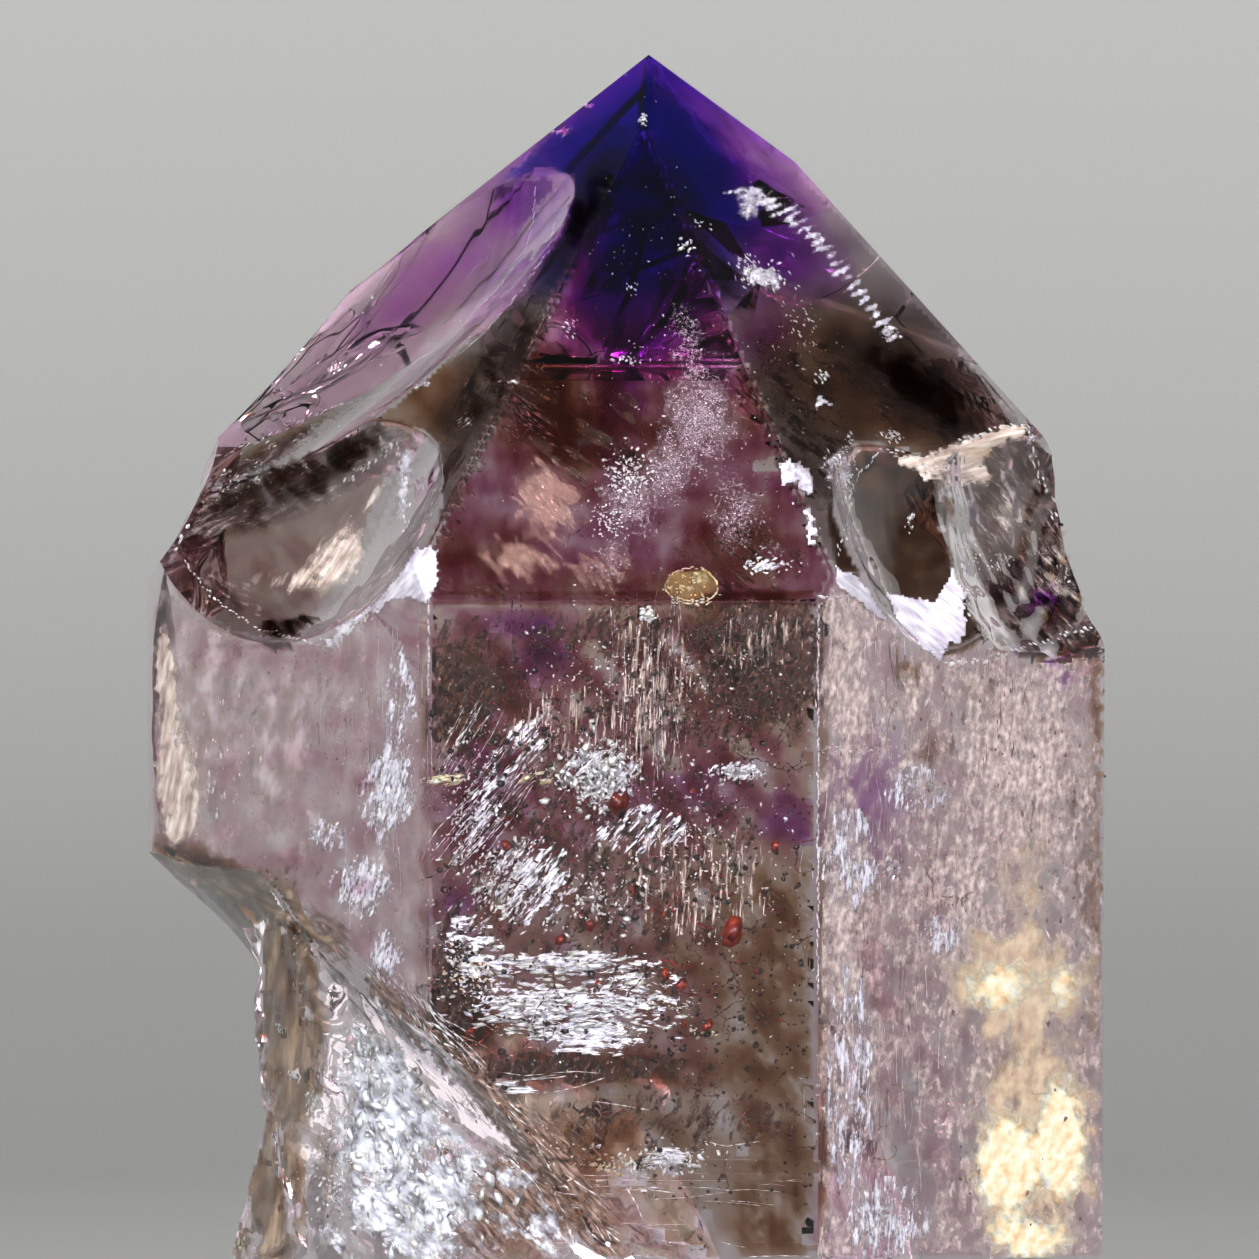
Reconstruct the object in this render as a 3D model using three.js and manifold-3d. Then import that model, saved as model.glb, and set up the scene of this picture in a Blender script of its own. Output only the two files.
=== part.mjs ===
// An amethyst point with fluid inclusions: one quartz crystal, 58 mm tall, standing on its cut root.
// Millimetres, +Z along the crystal's long axis, origin at the middle of the flat cut it stands on.
// The broad prism face that carries the window on the inclusions looks along -Y.

import * as THREE from 'three';
import { ConvexGeometry } from 'three/addons/geometries/ConvexGeometry.js';
import { mergeVertices } from 'three/addons/utils/BufferGeometryUtils.js';
import Module from 'manifold-3d';

const wasm = await Module();
wasm.setup();

// Driving dimensions

// The point where the three large pyramid faces meet.
const APEX = { x: 0.65, y: 0.4, z: 58.2 };

// Quartz pyramid faces lie at this slope from the horizontal, in degrees.
const PYRAMID_SLOPE = 51.8;

// The six sides. bearing: degrees to the right of the front. prism: distance of the prism face
// from the long axis. reach: how far out from the apex, in plan, the pyramid face starts.
const SIDES = [
  { bearing: 0, prism: 16.0, reach: 2.0 },
  { bearing: 60, prism: 14.1, reach: 0 },
  { bearing: 120, prism: 14.65, reach: 2.9 },
  { bearing: 180, prism: 14.5, reach: 0 },
  { bearing: -120, prism: 17.55, reach: 6.4 },
  { bearing: -60, prism: 12.9, reach: 0 },
];

// Conchoidal chips. at: a point of the unbroken surface over the chip's middle. bearing and slope:
// which way the chip faces. depth: how far it cuts in. bowl: its bowl's radii across, up the slope
// and along the outward normal. roll: the bowl's turn about the normal, in degrees.
const CHIPS = {
  upper_left: { at: [-8.4, 0.6, 48.1], bearing: -63, slope: 50, depth: 0.8, bowl: [54, 30, 60], roll: 40 },
  lower_left: { at: [-11.0, -5.2, 41.8], bearing: -61, slope: 62, depth: 1.8, bowl: [19, 11, 11], roll: 8 },
  left_rim: { at: [-17.2, 4.2, 42.2], bearing: -88, slope: 60, depth: 1.2, bowl: [12, 12, 12], roll: 0 },
  right_break: { at: [13.9, -3.6, 41.4], bearing: 68, slope: 67, depth: 2.0, bowl: [24, 13, 18], roll: 4 },
  right_bowl: { at: [10.9, -8.4, 41.7], bearing: 57, slope: 64, depth: 1.9, bowl: [7.8, 8.5, 7], roll: 0 },
  back_break: { at: [7.0, 14.0, 39.5], bearing: 158, slope: 66, depth: 1.3, bowl: [12, 10, 10], roll: 12 },
  back_edge: { at: [-13.6, 12.8, 34.0], bearing: -150, slope: 88, depth: 1.1, bowl: [6, 11, 8], roll: 0 },
  root_front: { at: [6.6, -15.6, 0.6], bearing: 26, slope: 122, depth: 2.0, bowl: [9, 6, 7], roll: 0 },
  root_right: { at: [16.2, 1.5, 0.8], bearing: 92, slope: 118, depth: 2.2, bowl: [7, 8, 8], roll: 0 },
  root_back: { at: [2.0, 14.3, 0.6], bearing: 176, slope: 124, depth: 2.0, bowl: [11, 6, 7], roll: 0 },
};

// Growth steps on prism faces. bearing: the face. low and high: the sunk band's heights. depth: how
// far it is sunk.
const GROWTH_STEPS = [
  { bearing: 0, low: -1, high: 8.4, depth: 0.3 },
  { bearing: 0, low: 12.6, high: 14.2, depth: 0.18 },
  { bearing: 0, low: 17.4, high: 19.0, depth: 0.15 },
  { bearing: 0, low: 21.0, high: 21.7, depth: 0.12 },
  { bearing: 60, low: -1, high: 10.5, depth: 0.25 },
  { bearing: 120, low: 6.0, high: 13.5, depth: 0.25 },
  { bearing: 180, low: -1, high: 11.8, depth: 0.3 },
  { bearing: 180, low: 18.5, high: 21.2, depth: 0.2 },
];

// The big scoop on the lower left, which bares the stem.
const SCOOP = { at: [-19, -6, 6], radii: [24, 27, 28], bearing: -30 };

// The stem: an oval column whose long side runs along the left front prism face. middle: its middle
// in plan. across and along: its half widths out of and along that face.
const STEM = { bearing: -60, middle: [-3.6, -3.3], across: 7.6, along: 13.9 };

// The head's underside arches over the stem: its top, where along the face it is, and how it
// droops to both sides, as a factor and a power of the way along.
const ARCH = { top: 28.5, at: -3.5, droop: 0.28, power: 1.24 };

// The underside spreads from the stem by this share of the stem's width per mm and per mm squared.
const SPREAD = { slope: 0.05, curve: 0.017, rise: 8 };

// Below this height the stem swells again, over a height and by a share of its width.
const SWELL = { from: 20, over: 6, share: 0.14 };

// The stem's lumps: their height and their size.
const LUMP = { height: 0.4, size: 5.5 };

// Fineness of the bowls and of the stem
const BOWL_DETAIL = 8;
const STEM_ROUND = 42;
const STEM_RISE = 22;
const STEM_PROUD = 0.03;
const SLAB_THICKNESS = 4;

const rad = THREE.MathUtils.degToRad;

// The plan direction of a bearing, as a unit vector.
function planDirection(bearing) {
  return new THREE.Vector3(Math.sin(rad(bearing)), -Math.cos(rad(bearing)), 0);
}

// The outward normal of a surface with this bearing and this slope from the horizontal.
function outward(bearing, slope) {
  const normal = planDirection(bearing).multiplyScalar(Math.sin(rad(slope)));
  normal.z = Math.cos(rad(slope));
  return normal;
}

// The crystal's planes, each as a THREE.Plane whose normal points out of the crystal.
function crystalPlanes() {
  const planes = [new THREE.Plane(new THREE.Vector3(0, 0, -1), 0)];
  for (const side of SIDES) {
    const plan = planDirection(side.bearing);
    planes.push(new THREE.Plane(plan, -side.prism));
    const start = new THREE.Vector3(APEX.x, APEX.y, APEX.z).addScaledVector(plan, side.reach);
    const normal = outward(side.bearing, PYRAMID_SLOPE);
    planes.push(new THREE.Plane().setFromNormalAndCoplanarPoint(normal, start));
  }
  return planes;
}

// The point where three planes meet, or null where they don't meet in one point.
function meetingPoint(a, b, c) {
  const rows = new THREE.Matrix3().set(
    a.normal.x, a.normal.y, a.normal.z,
    b.normal.x, b.normal.y, b.normal.z,
    c.normal.x, c.normal.y, c.normal.z,
  );
  if (Math.abs(rows.determinant()) < 1e-6) return null;
  return new THREE.Vector3(-a.constant, -b.constant, -c.constant).applyMatrix3(rows.invert());
}

// The corners of the solid that lies behind every plane.
function solidCorners(planes) {
  const corners = [];
  for (let i = 0; i < planes.length; i++) {
    for (let j = i + 1; j < planes.length; j++) {
      for (let k = j + 1; k < planes.length; k++) {
        const point = meetingPoint(planes[i], planes[j], planes[k]);
        if (!point) continue;
        const inside = planes.every((plane) => plane.distanceToPoint(point) < 1e-4);
        const isNew = corners.every((corner) => corner.distanceTo(point) > 1e-3);
        if (inside && isNew) corners.push(point);
      }
    }
  }
  return corners;
}

// A closed three.js geometry as a solid that can be cut and joined.
function solidOf(geometry) {
  const bare = geometry.clone();
  bare.deleteAttribute('normal');
  bare.deleteAttribute('uv');
  const merged = mergeVertices(bare, 1e-5);
  return new wasm.Manifold(new wasm.Mesh({
    numProp: 3,
    vertProperties: new Float32Array(merged.attributes.position.array),
    triVerts: new Uint32Array(merged.index.array),
  }));
}

// A solid's triangles as a three.js geometry.
function geometryOf(solid) {
  const mesh = solid.getMesh();
  const geometry = new THREE.BufferGeometry();
  geometry.setAttribute('position', new THREE.BufferAttribute(mesh.vertProperties, mesh.numProp));
  geometry.setIndex(new THREE.BufferAttribute(mesh.triVerts, 1));
  geometry.computeVertexNormals();
  return geometry;
}

// Smooth, repeatable lumps over a surface: about -1 to 1 at a point in mm, for lumps of this size.
function lumps(point, size) {
  const { x, y, z } = point;
  const k = (2 * Math.PI) / size;
  const acrossX = Math.sin(k * x + 1.7 * Math.sin(0.61 * k * z));
  const acrossY = Math.sin(0.83 * k * y + 1.3 * Math.sin(0.47 * k * x));
  const upwards = Math.sin(0.91 * k * z + 1.9 * Math.sin(0.53 * k * y + 0.8));
  return 0.6 * acrossX * acrossY + 0.4 * upwards;
}

// One chip's bowl: an ellipsoid, set so that it cuts in by the chip's depth.
function chipBowl(chip) {
  const normal = outward(chip.bearing, chip.slope);
  const across = new THREE.Vector3(Math.cos(rad(chip.bearing)), Math.sin(rad(chip.bearing)), 0);
  const upSlope = new THREE.Vector3().crossVectors(normal, across);
  const [rx, ry, rz] = chip.bowl;
  const geometry = new THREE.IcosahedronGeometry(1, BOWL_DETAIL);
  geometry.scale(rx, ry, rz);
  geometry.rotateZ(rad(chip.roll));
  const place = new THREE.Matrix4().makeBasis(across, upSlope, normal);
  place.setPosition(new THREE.Vector3(...chip.at).addScaledVector(normal, rz - chip.depth));
  geometry.applyMatrix4(place);
  return solidOf(geometry);
}

// The ellipsoid of the scoop.
function scoopBowl() {
  const geometry = new THREE.IcosahedronGeometry(1, BOWL_DETAIL);
  geometry.scale(...SCOOP.radii);
  geometry.rotateZ(rad(SCOOP.bearing));
  geometry.translate(...SCOOP.at);
  return solidOf(geometry);
}

// How wide the stem is at a height, as a share of its width, where the arch stands at archHeight.
function stemWidth(z, archHeight) {
  const above = Math.max(0, z - archHeight);
  const below = THREE.MathUtils.smoothstep(SWELL.from - z, 0, SWELL.over);
  return 1 + SPREAD.slope * above + SPREAD.curve * above * above + SWELL.share * below;
}

// The stem as a closed column of rings that rises past the arch by a height. proud widens it all over.
function stemSolid(rise, proud) {
  const outwards = planDirection(STEM.bearing);
  const along = new THREE.Vector3(-outwards.y, outwards.x, 0);
  const [middleX, middleY] = STEM.middle;
  const positions = [];
  const index = [];
  for (let ring = 0; ring <= STEM_RISE; ring++) {
    for (let i = 0; i < STEM_ROUND; i++) {
      const turn = (2 * Math.PI * i) / STEM_ROUND;
      const alongFace = STEM.along * Math.sin(turn);
      const archHeight = ARCH.top - ARCH.droop * Math.abs(alongFace - ARCH.at) ** ARCH.power;
      const z = ((archHeight + rise) * ring) / STEM_RISE;
      const width = stemWidth(z, archHeight);
      const spoke = new THREE.Vector3()
        .addScaledVector(outwards, STEM.across * Math.cos(turn))
        .addScaledVector(along, alongFace);
      const point = new THREE.Vector3(middleX, middleY, z).addScaledVector(spoke, width);
      const bump = z > archHeight ? 0 : LUMP.height * lumps(point, LUMP.size);
      point.addScaledVector(spoke.normalize(), bump + proud);
      positions.push(point.x, point.y, point.z);
    }
  }
  for (let ring = 0; ring < STEM_RISE; ring++) {
    for (let i = 0; i < STEM_ROUND; i++) {
      const a = ring * STEM_ROUND + i;
      const b = ring * STEM_ROUND + ((i + 1) % STEM_ROUND);
      index.push(a, b, b + STEM_ROUND, a, b + STEM_ROUND, a + STEM_ROUND);
    }
  }
  const bottom = positions.length / 3;
  const topRing = STEM_RISE * STEM_ROUND;
  positions.push(middleX, middleY, 0, middleX, middleY, ARCH.top + rise);
  for (let i = 0; i < STEM_ROUND; i++) {
    const next = (i + 1) % STEM_ROUND;
    index.push(bottom, next, i, bottom + 1, topRing + i, topRing + next);
  }
  const geometry = new THREE.BufferGeometry();
  geometry.setAttribute('position', new THREE.Float32BufferAttribute(positions, 3));
  geometry.setIndex(index);
  return solidOf(geometry);
}

// The slab that sinks one growth step into its prism face.
function growthSlab(step) {
  const side = SIDES.find(({ bearing }) => bearing === step.bearing);
  const geometry = new THREE.BoxGeometry(4 * side.prism, SLAB_THICKNESS, step.high - step.low);
  geometry.translate(0, step.depth - side.prism - SLAB_THICKNESS / 2, (step.high + step.low) / 2);
  geometry.rotateZ(rad(step.bearing));
  return solidOf(geometry);
}

// The whole crystal as one solid.
function crystalSolid() {
  let solid = solidOf(new ConvexGeometry(solidCorners(crystalPlanes())));
  for (const step of GROWTH_STEPS) solid = solid.subtract(growthSlab(step));
  for (const chip of Object.values(CHIPS)) solid = solid.subtract(chipBowl(chip));
  solid = solid.subtract(scoopBowl().subtract(stemSolid(SPREAD.rise, 0)));
  return solid.add(stemSolid(0, STEM_PROUD));
}

const amethyst = new THREE.MeshStandardMaterial({ color: 0x8d6c8c, roughness: 0.08, metalness: 0 });
const crystal = new THREE.Mesh(geometryOf(crystalSolid()), amethyst);
crystal.name = 'amethyst_crystal';

const group = new THREE.Group();
group.add(crystal);

export default group;
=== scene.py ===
"""An enhydro amethyst point on a pale floor: one quartz crystal with what shows inside it.

Every size is in millimetres in the crystal's own frame (+Z up the long axis, the broad front prism
face looking along -Y, the origin in the middle of the cut root) and becomes metres in its mesh.
"""

from __future__ import annotations

import logging
import math
from collections.abc import Iterator
from contextlib import contextmanager
from dataclasses import dataclass, field
from enum import Enum

import bpy
import numpy as np
from mathutils import Matrix, Vector
from mathutils.bvhtree import BVHTree

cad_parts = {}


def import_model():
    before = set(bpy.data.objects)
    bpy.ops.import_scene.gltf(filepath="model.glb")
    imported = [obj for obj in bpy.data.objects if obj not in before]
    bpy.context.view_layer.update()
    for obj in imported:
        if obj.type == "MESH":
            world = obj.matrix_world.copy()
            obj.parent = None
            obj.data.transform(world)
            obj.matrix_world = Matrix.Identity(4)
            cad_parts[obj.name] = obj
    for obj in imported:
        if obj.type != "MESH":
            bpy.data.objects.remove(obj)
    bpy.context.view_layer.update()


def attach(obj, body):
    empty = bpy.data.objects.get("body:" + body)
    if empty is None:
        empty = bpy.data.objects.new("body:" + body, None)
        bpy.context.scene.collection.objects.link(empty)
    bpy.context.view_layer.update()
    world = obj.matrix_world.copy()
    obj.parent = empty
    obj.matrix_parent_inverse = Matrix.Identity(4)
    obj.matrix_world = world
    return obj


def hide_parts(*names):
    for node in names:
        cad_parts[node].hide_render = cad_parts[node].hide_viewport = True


Pair = tuple[float, float]
Triple = tuple[float, float, float]
Outline = tuple[Pair, ...]
Colours = tuple[Triple, ...]
Clouds = tuple["Cloud", ...]
Layers = tuple["Layer", ...]
Object = bpy.types.Object
Material = bpy.types.Material
Node = bpy.types.Node
Socket = bpy.types.NodeSocket

LOG = logging.getLogger("amethyst")
MM = 0.001
UP_ONE = {"value": (0, 0, 1)}


def plan_direction(bearing: float) -> Vector:
    """Point along a bearing in plan.

    Args:
        bearing: degrees to the right of the front.

    Returns:
        The unit vector, level.
    """
    turn = math.radians(bearing)
    return Vector((math.sin(turn), -math.cos(turn), 0.0))


def outward(bearing: float, slope: float) -> Vector:
    """Give the outward normal of a surface.

    Args:
        bearing: degrees to the right of the front.
        slope: degrees from the horizontal.

    Returns:
        The unit normal.
    """
    normal = plan_direction(bearing) * math.sin(math.radians(slope))
    normal.z = math.cos(math.radians(slope))
    return normal


def select_only(obj: Object) -> None:
    """Make one object the only selected and the active one."""
    bpy.ops.object.select_all(action="DESELECT")
    obj.select_set(True)
    bpy.context.view_layer.objects.active = obj


@contextmanager
def editing() -> Iterator[None]:
    """Edit the active mesh with all of it selected, and leave edit mode at the end."""
    bpy.ops.object.mode_set(mode="EDIT")
    bpy.ops.mesh.select_all(action="SELECT")
    yield
    bpy.ops.object.mode_set(mode="OBJECT")


def get_points(obj: Object) -> np.ndarray:
    """Return the mesh's vertices as an array of rows of x, y, z."""
    flat = np.empty(len(obj.data.vertices) * 3)
    obj.data.vertices.foreach_get("co", flat)
    return flat.reshape(-1, 3)


def set_points(obj: Object, points: np.ndarray) -> None:
    """Write an array of rows of x, y, z back to the mesh's vertices."""
    obj.data.vertices.foreach_set("co", points.reshape(-1))
    obj.data.update()


def fix_normals(obj: Object) -> None:
    """Turn every face of a closed mesh outwards."""
    select_only(obj)
    with editing():
        bpy.ops.mesh.normals_make_consistent(inside=False)


def turn_outward(obj: Object) -> None:
    """Flip every face of closed bodies that were built inside out."""
    data = obj.data
    data.calc_loop_triangles()
    corners = np.empty(len(data.loop_triangles) * 3, dtype=np.int32)
    data.loop_triangles.foreach_get("vertices", corners)
    a, b, c = get_points(obj)[corners].reshape(-1, 3, 3).transpose(1, 0, 2) / MM
    if np.einsum("ij,ij->i", a, np.cross(b, c)).sum() < 0:
        data.flip_normals()


def boolean(target: Object, tool: Object, operation: str) -> None:
    """Join or cut a closed mesh with another, which is used up.

    Args:
        target: the mesh that stays.
        tool: the mesh that is joined to it or cut from it.
        operation: DIFFERENCE or UNION.
    """
    modifier = target.modifiers.new(tool.name, "BOOLEAN")
    modifier.object = tool
    modifier.operation = operation
    modifier.solver = "MANIFOLD"
    modifier.material_mode = "TRANSFER"
    select_only(target)
    bpy.ops.object.modifier_apply(modifier=modifier.name)
    bpy.data.objects.remove(tool)


def waves(points: np.ndarray, size: float, seed: int, count: int = 9) -> np.ndarray:
    """Work out soft, repeatable noise in space.

    Args:
        points: rows of x, y, z in mm.
        size: how long the waves are, in mm.
        seed: chooses the waves.
        count: how many waves are added.

    Returns:
        A value of about -1 to 1 for each point.
    """
    chance = np.random.default_rng(seed)
    total = np.zeros(len(points))
    for _ in range(count):
        direction = chance.normal(size=3)
        direction /= np.linalg.norm(direction)
        turn = chance.uniform(0, 2 * math.pi)
        pace = chance.uniform(0.7, 1.6) * 2 * math.pi / size
        total += np.sin(points @ direction * pace + turn)
    return total / math.sqrt(count) * 0.8


@dataclass(frozen=True)
class Side:
    """One prism face with the pyramid face above it."""

    bearing: float
    prism: float
    reach: float


@dataclass(frozen=True)
class Chip:
    """One conchoidal chip: where, which way it faces, how deep, and its bowl's three radii."""

    at: Triple
    bearing: float
    slope: float
    depth: float
    bowl: Triple
    roll: float = 0.0
    ripple: float = 0.05
    pitch: float = 1.1
    strike: Pair = (0.0, 6.0)


@dataclass(frozen=True)
class GrowthStep:
    """A band of a prism face that is sunk a little."""

    bearing: float
    low: float
    high: float
    depth: float


class Patch(Enum):
    """What made a patch of the crystal's skin."""

    GROWTH = "growth"
    BREAK = "break"
    STEM = "stem"
    ROOT = "root"


@dataclass
class Habit:
    """The crystal's planes: six prism faces, six pyramid faces and the flat cut."""

    apex: Triple = (0.65, 0.4, 58.2)
    slope: float = 51.8
    sides: tuple[Side, ...] = (
        Side(0, 16.0, 2.0),
        Side(60, 14.1, 0.0),
        Side(120, 14.65, 2.9),
        Side(180, 14.5, 0.0),
        Side(-120, 17.55, 6.4),
        Side(-60, 12.9, 0.0),
    )

    def planes(self) -> list[tuple[Vector, Vector]]:
        """Return each plane of the skin as a point on it and its outward normal, in mm."""
        found = [(Vector((0, 0, 0)), Vector((0, 0, -1)))]
        for side in self.sides:
            plan = plan_direction(side.bearing)
            found.append((plan * side.prism, plan))
            start = Vector(self.apex) + plan * side.reach
            found.append((start, outward(side.bearing, self.slope)))
        return found

    def block(self, name: str, inset: float = 0.0) -> Object:
        """Cut a cube down to the crystal's planes.

        Args:
            name: the new object's name.
            inset: how far every plane is moved in, in mm.

        Returns:
            The closed block, in mm.
        """
        bpy.ops.object.select_all(action="DESELECT")
        bpy.ops.mesh.primitive_cube_add(size=80, location=(0, 0, 30))
        block = bpy.context.object
        block.name = name
        bpy.ops.object.transform_apply(location=True, rotation=True, scale=True)
        with editing():
            for point, normal in self.planes():
                start = point - normal * inset
                bpy.ops.mesh.select_all(action="SELECT")
                bpy.ops.mesh.bisect(plane_co=start, plane_no=normal, use_fill=True, clear_outer=True)
        fix_normals(block)
        return block


@dataclass
class Stem:
    """The lumpy column that the scoop on the lower left bares."""

    bearing: float = -60
    middle: Pair = (-3.6, -3.3)
    across: float = 7.6
    along: float = 13.9
    arch_top: float = 28.5
    arch_at: float = -3.5
    arch_droop: float = 0.28
    arch_power: float = 1.24
    spread_slope: float = 0.05
    spread_curve: float = 0.017
    swell_from: float = 20
    swell_over: float = 6
    swell_share: float = 0.14
    lump_height: float = 0.4
    lump_size: float = 5.5
    around: int = 300
    rings: int = 120

    def lumps(self, points: np.ndarray) -> np.ndarray:
        """Return the column's lumps, about -1 to 1, at rows of x, y, z in mm."""
        x, y, z = points.T
        k = 2 * math.pi / self.lump_size
        across_x = np.sin(k * x + 1.7 * np.sin(0.61 * k * z))
        across_y = np.sin(0.83 * k * y + 1.3 * np.sin(0.47 * k * x))
        upwards = np.sin(0.91 * k * z + 1.9 * np.sin(0.53 * k * y + 0.8))
        return 0.6 * across_x * across_y + 0.4 * upwards

    def column(self, name: str, rise: float, proud: float) -> Object:
        """Raise the column ring by ring.

        Args:
            name: the new object's name.
            rise: how far it goes on above the arch, in mm.
            proud: how much wider it is all over, in mm.

        Returns:
            The closed column, in mm.
        """
        bpy.ops.object.select_all(action="DESELECT")
        bpy.ops.mesh.primitive_circle_add(vertices=self.around, radius=1, fill_type="TRIFAN")
        column = bpy.context.object
        column.name = name
        with editing():
            for _ in range(self.rings):
                bpy.ops.mesh.extrude_region_move(TRANSFORM_OT_translate=UP_ONE)
        self.shape(column, rise, proud)
        fix_normals(column)
        return column

    def shape(self, column: Object, rise: float, proud: float) -> None:
        """Move the plain tube's vertices to the column's real surface.

        Args:
            column: the tube of unit radius with its rings a unit apart.
            rise: how far it goes on above the arch, in mm.
            proud: how much wider it is all over, in mm.
        """
        points = get_points(column)
        radius = np.hypot(points[:, 0], points[:, 1])
        turn = np.arctan2(points[:, 1], points[:, 0])
        along_face = self.along * np.sin(turn) * radius
        away = np.abs(along_face - self.arch_at)
        arch = self.arch_top - self.arch_droop * away**self.arch_power
        z = (arch + rise) * points[:, 2] / self.rings
        above = np.clip(z - arch, 0, None)
        low = np.clip((self.swell_from - z) / self.swell_over, 0, 1)
        low = low * low * (3 - 2 * low)
        width = 1 + self.spread_slope * above + self.spread_curve * above**2
        width += self.swell_share * low
        outwards = np.array(plan_direction(self.bearing))
        along = np.array([-outwards[1], outwards[0], 0])
        across_face = self.across * np.cos(turn) * radius
        spoke = across_face[:, None] * outwards + along_face[:, None] * along
        base = np.array([self.middle[0], self.middle[1], 0.0])
        shaped = base + spoke * width[:, None]
        shaped[:, 2] = z
        bump = np.where(z > arch, 0, self.lump_height * self.lumps(shaped))
        fade = np.clip(above, 0, 1.5) / 1.5
        fine = 0.10 * waves(shaped, 1.9, 11) + 0.05 * waves(shaped, 0.8, 12)
        bump += fine * (1 - 0.55 * fade)
        reach = np.linalg.norm(spoke, axis=1)
        unit = spoke / np.maximum(reach, 1e-6)[:, None]
        shaped += unit * ((bump + proud) * (radius > 0.5))[:, None]
        set_points(column, shaped)


@dataclass
class Shell:
    """The crystal's own skin: planes, growth steps, chips, scoop and stem in one closed mesh."""

    habit: Habit = field(default_factory=Habit)
    stem: Stem = field(default_factory=Stem)
    chips: dict[str, Chip] = field(
        default_factory=lambda: {
            "upper_left": Chip((-8.4, 0.6, 48.1), -63, 50, 0.8, (54, 30, 60), 40, 0.006, 2.6, (6, 8)),
            "lower_left": Chip((-11.0, -5.2, 41.8), -61, 62, 1.8, (19, 11, 11), 8, 0.012, 1.8, (3, 7)),
            "left_rim": Chip((-17.2, 4.2, 42.2), -88, 60, 1.2, (12, 12, 12), 0, 0.012, 1.6, (0, 6)),
            "right_break": Chip((13.9, -3.6, 41.4), 68, 67, 2.0, (24, 13, 18), 4, 0.05, 1.3, (0, 7)),
            "right_bowl": Chip((10.9, -8.4, 41.7), 57, 64, 1.9, (7.8, 8.5, 7), 0, 0.014, 1.4, (1, 5)),
            "back_break": Chip((7.0, 14.0, 39.5), 158, 66, 1.3, (12, 10, 10), 12),
            "back_edge": Chip((-13.6, 12.8, 34.0), -150, 88, 1.1, (6, 11, 8), 0),
            "root_front": Chip((6.6, -15.6, 0.6), 26, 122, 2.0, (9, 6, 7), 0),
            "root_right": Chip((16.2, 1.5, 0.8), 92, 118, 2.2, (7, 8, 8), 0),
            "root_back": Chip((2.0, 14.3, 0.6), 176, 124, 2.0, (11, 6, 7), 0),
        }
    )
    steps: tuple[GrowthStep, ...] = (
        GrowthStep(0, -1, 8.4, 0.3),
        GrowthStep(0, 12.6, 14.2, 0.18),
        GrowthStep(0, 17.4, 19.0, 0.15),
        GrowthStep(0, 21.0, 21.7, 0.12),
        GrowthStep(60, -1, 10.5, 0.25),
        GrowthStep(120, 6.0, 13.5, 0.25),
        GrowthStep(180, -1, 11.8, 0.3),
        GrowthStep(180, 18.5, 21.2, 0.2),
    )
    scoop_at: Triple = (-19, -6, 6)
    scoop_radii: Triple = (24, 27, 28)
    scoop_bearing: float = -30
    rise: float = 8
    proud: float = 0.03
    slab: float = 4
    cell: float = 0.17
    crease: float = 24
    inset: float = 0.0

    def slab_cutter(self, step: GrowthStep) -> Object:
        """Make the slab that sinks one growth step, in mm."""
        side = next(s for s in self.habit.sides if s.bearing == step.bearing)
        bpy.ops.object.select_all(action="DESELECT")
        middle = Vector((0, step.depth - side.prism - self.slab / 2, (step.high + step.low) / 2))
        bpy.ops.mesh.primitive_cube_add(size=1, location=middle)
        slab = bpy.context.object
        slab.scale = (4 * side.prism, self.slab, step.high - step.low)
        bpy.ops.object.transform_apply(location=True, rotation=True, scale=True)
        slab.data.transform(Matrix.Rotation(math.radians(step.bearing), 4, "Z"))
        return slab

    def bowl_cutter(self, chip: Chip) -> Object:
        """Make the lid-shaped cutter whose underside is one chip's rippled bowl.

        Args:
            chip: the chip.

        Returns:
            The closed cutter, in mm.
        """
        rx, ry, rz = chip.bowl
        share = math.sqrt(1 - (1 - chip.depth / rz) ** 2)
        half_x = min(0.93, 1.45 * share) * rx
        half_y = min(0.93, 1.45 * share) * ry
        depth = chip.depth + self.inset
        bpy.ops.object.select_all(action="DESELECT")
        bpy.ops.mesh.primitive_grid_add(
            x_subdivisions=max(8, int(2 * half_x / self.cell)),
            y_subdivisions=max(8, int(2 * half_y / self.cell)),
            size=2,
        )
        cutter = bpy.context.object
        with editing():
            bpy.ops.mesh.extrude_region_move(TRANSFORM_OT_translate=UP_ONE)
        points = get_points(cutter)
        u = points[:, 0] * half_x
        v = points[:, 1] * half_y
        inside = np.clip(1 - (u / rx) ** 2 - (v / ry) ** 2, 0.02, 1)
        bowl = rz - depth - rz * np.sqrt(inside)
        bowl += self.ripples(chip, u, v) * (self.inset == 0)
        lid = rz * 0.6 + 6
        w = np.where(points[:, 2] > 0.5, lid, np.minimum(bowl, lid - 0.5))
        set_points(cutter, np.column_stack([u, v, w]))
        normal = outward(chip.bearing, chip.slope)
        turn = math.radians(chip.bearing)
        across = Vector((math.cos(turn), math.sin(turn), 0))
        up_slope = normal.cross(across)
        basis = Matrix((across, up_slope, normal)).transposed().to_4x4()
        roll = Matrix.Rotation(math.radians(chip.roll), 4, "Z")
        cutter.data.transform(Matrix.Translation(Vector(chip.at)) @ basis @ roll)
        fix_normals(cutter)
        return cutter

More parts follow.
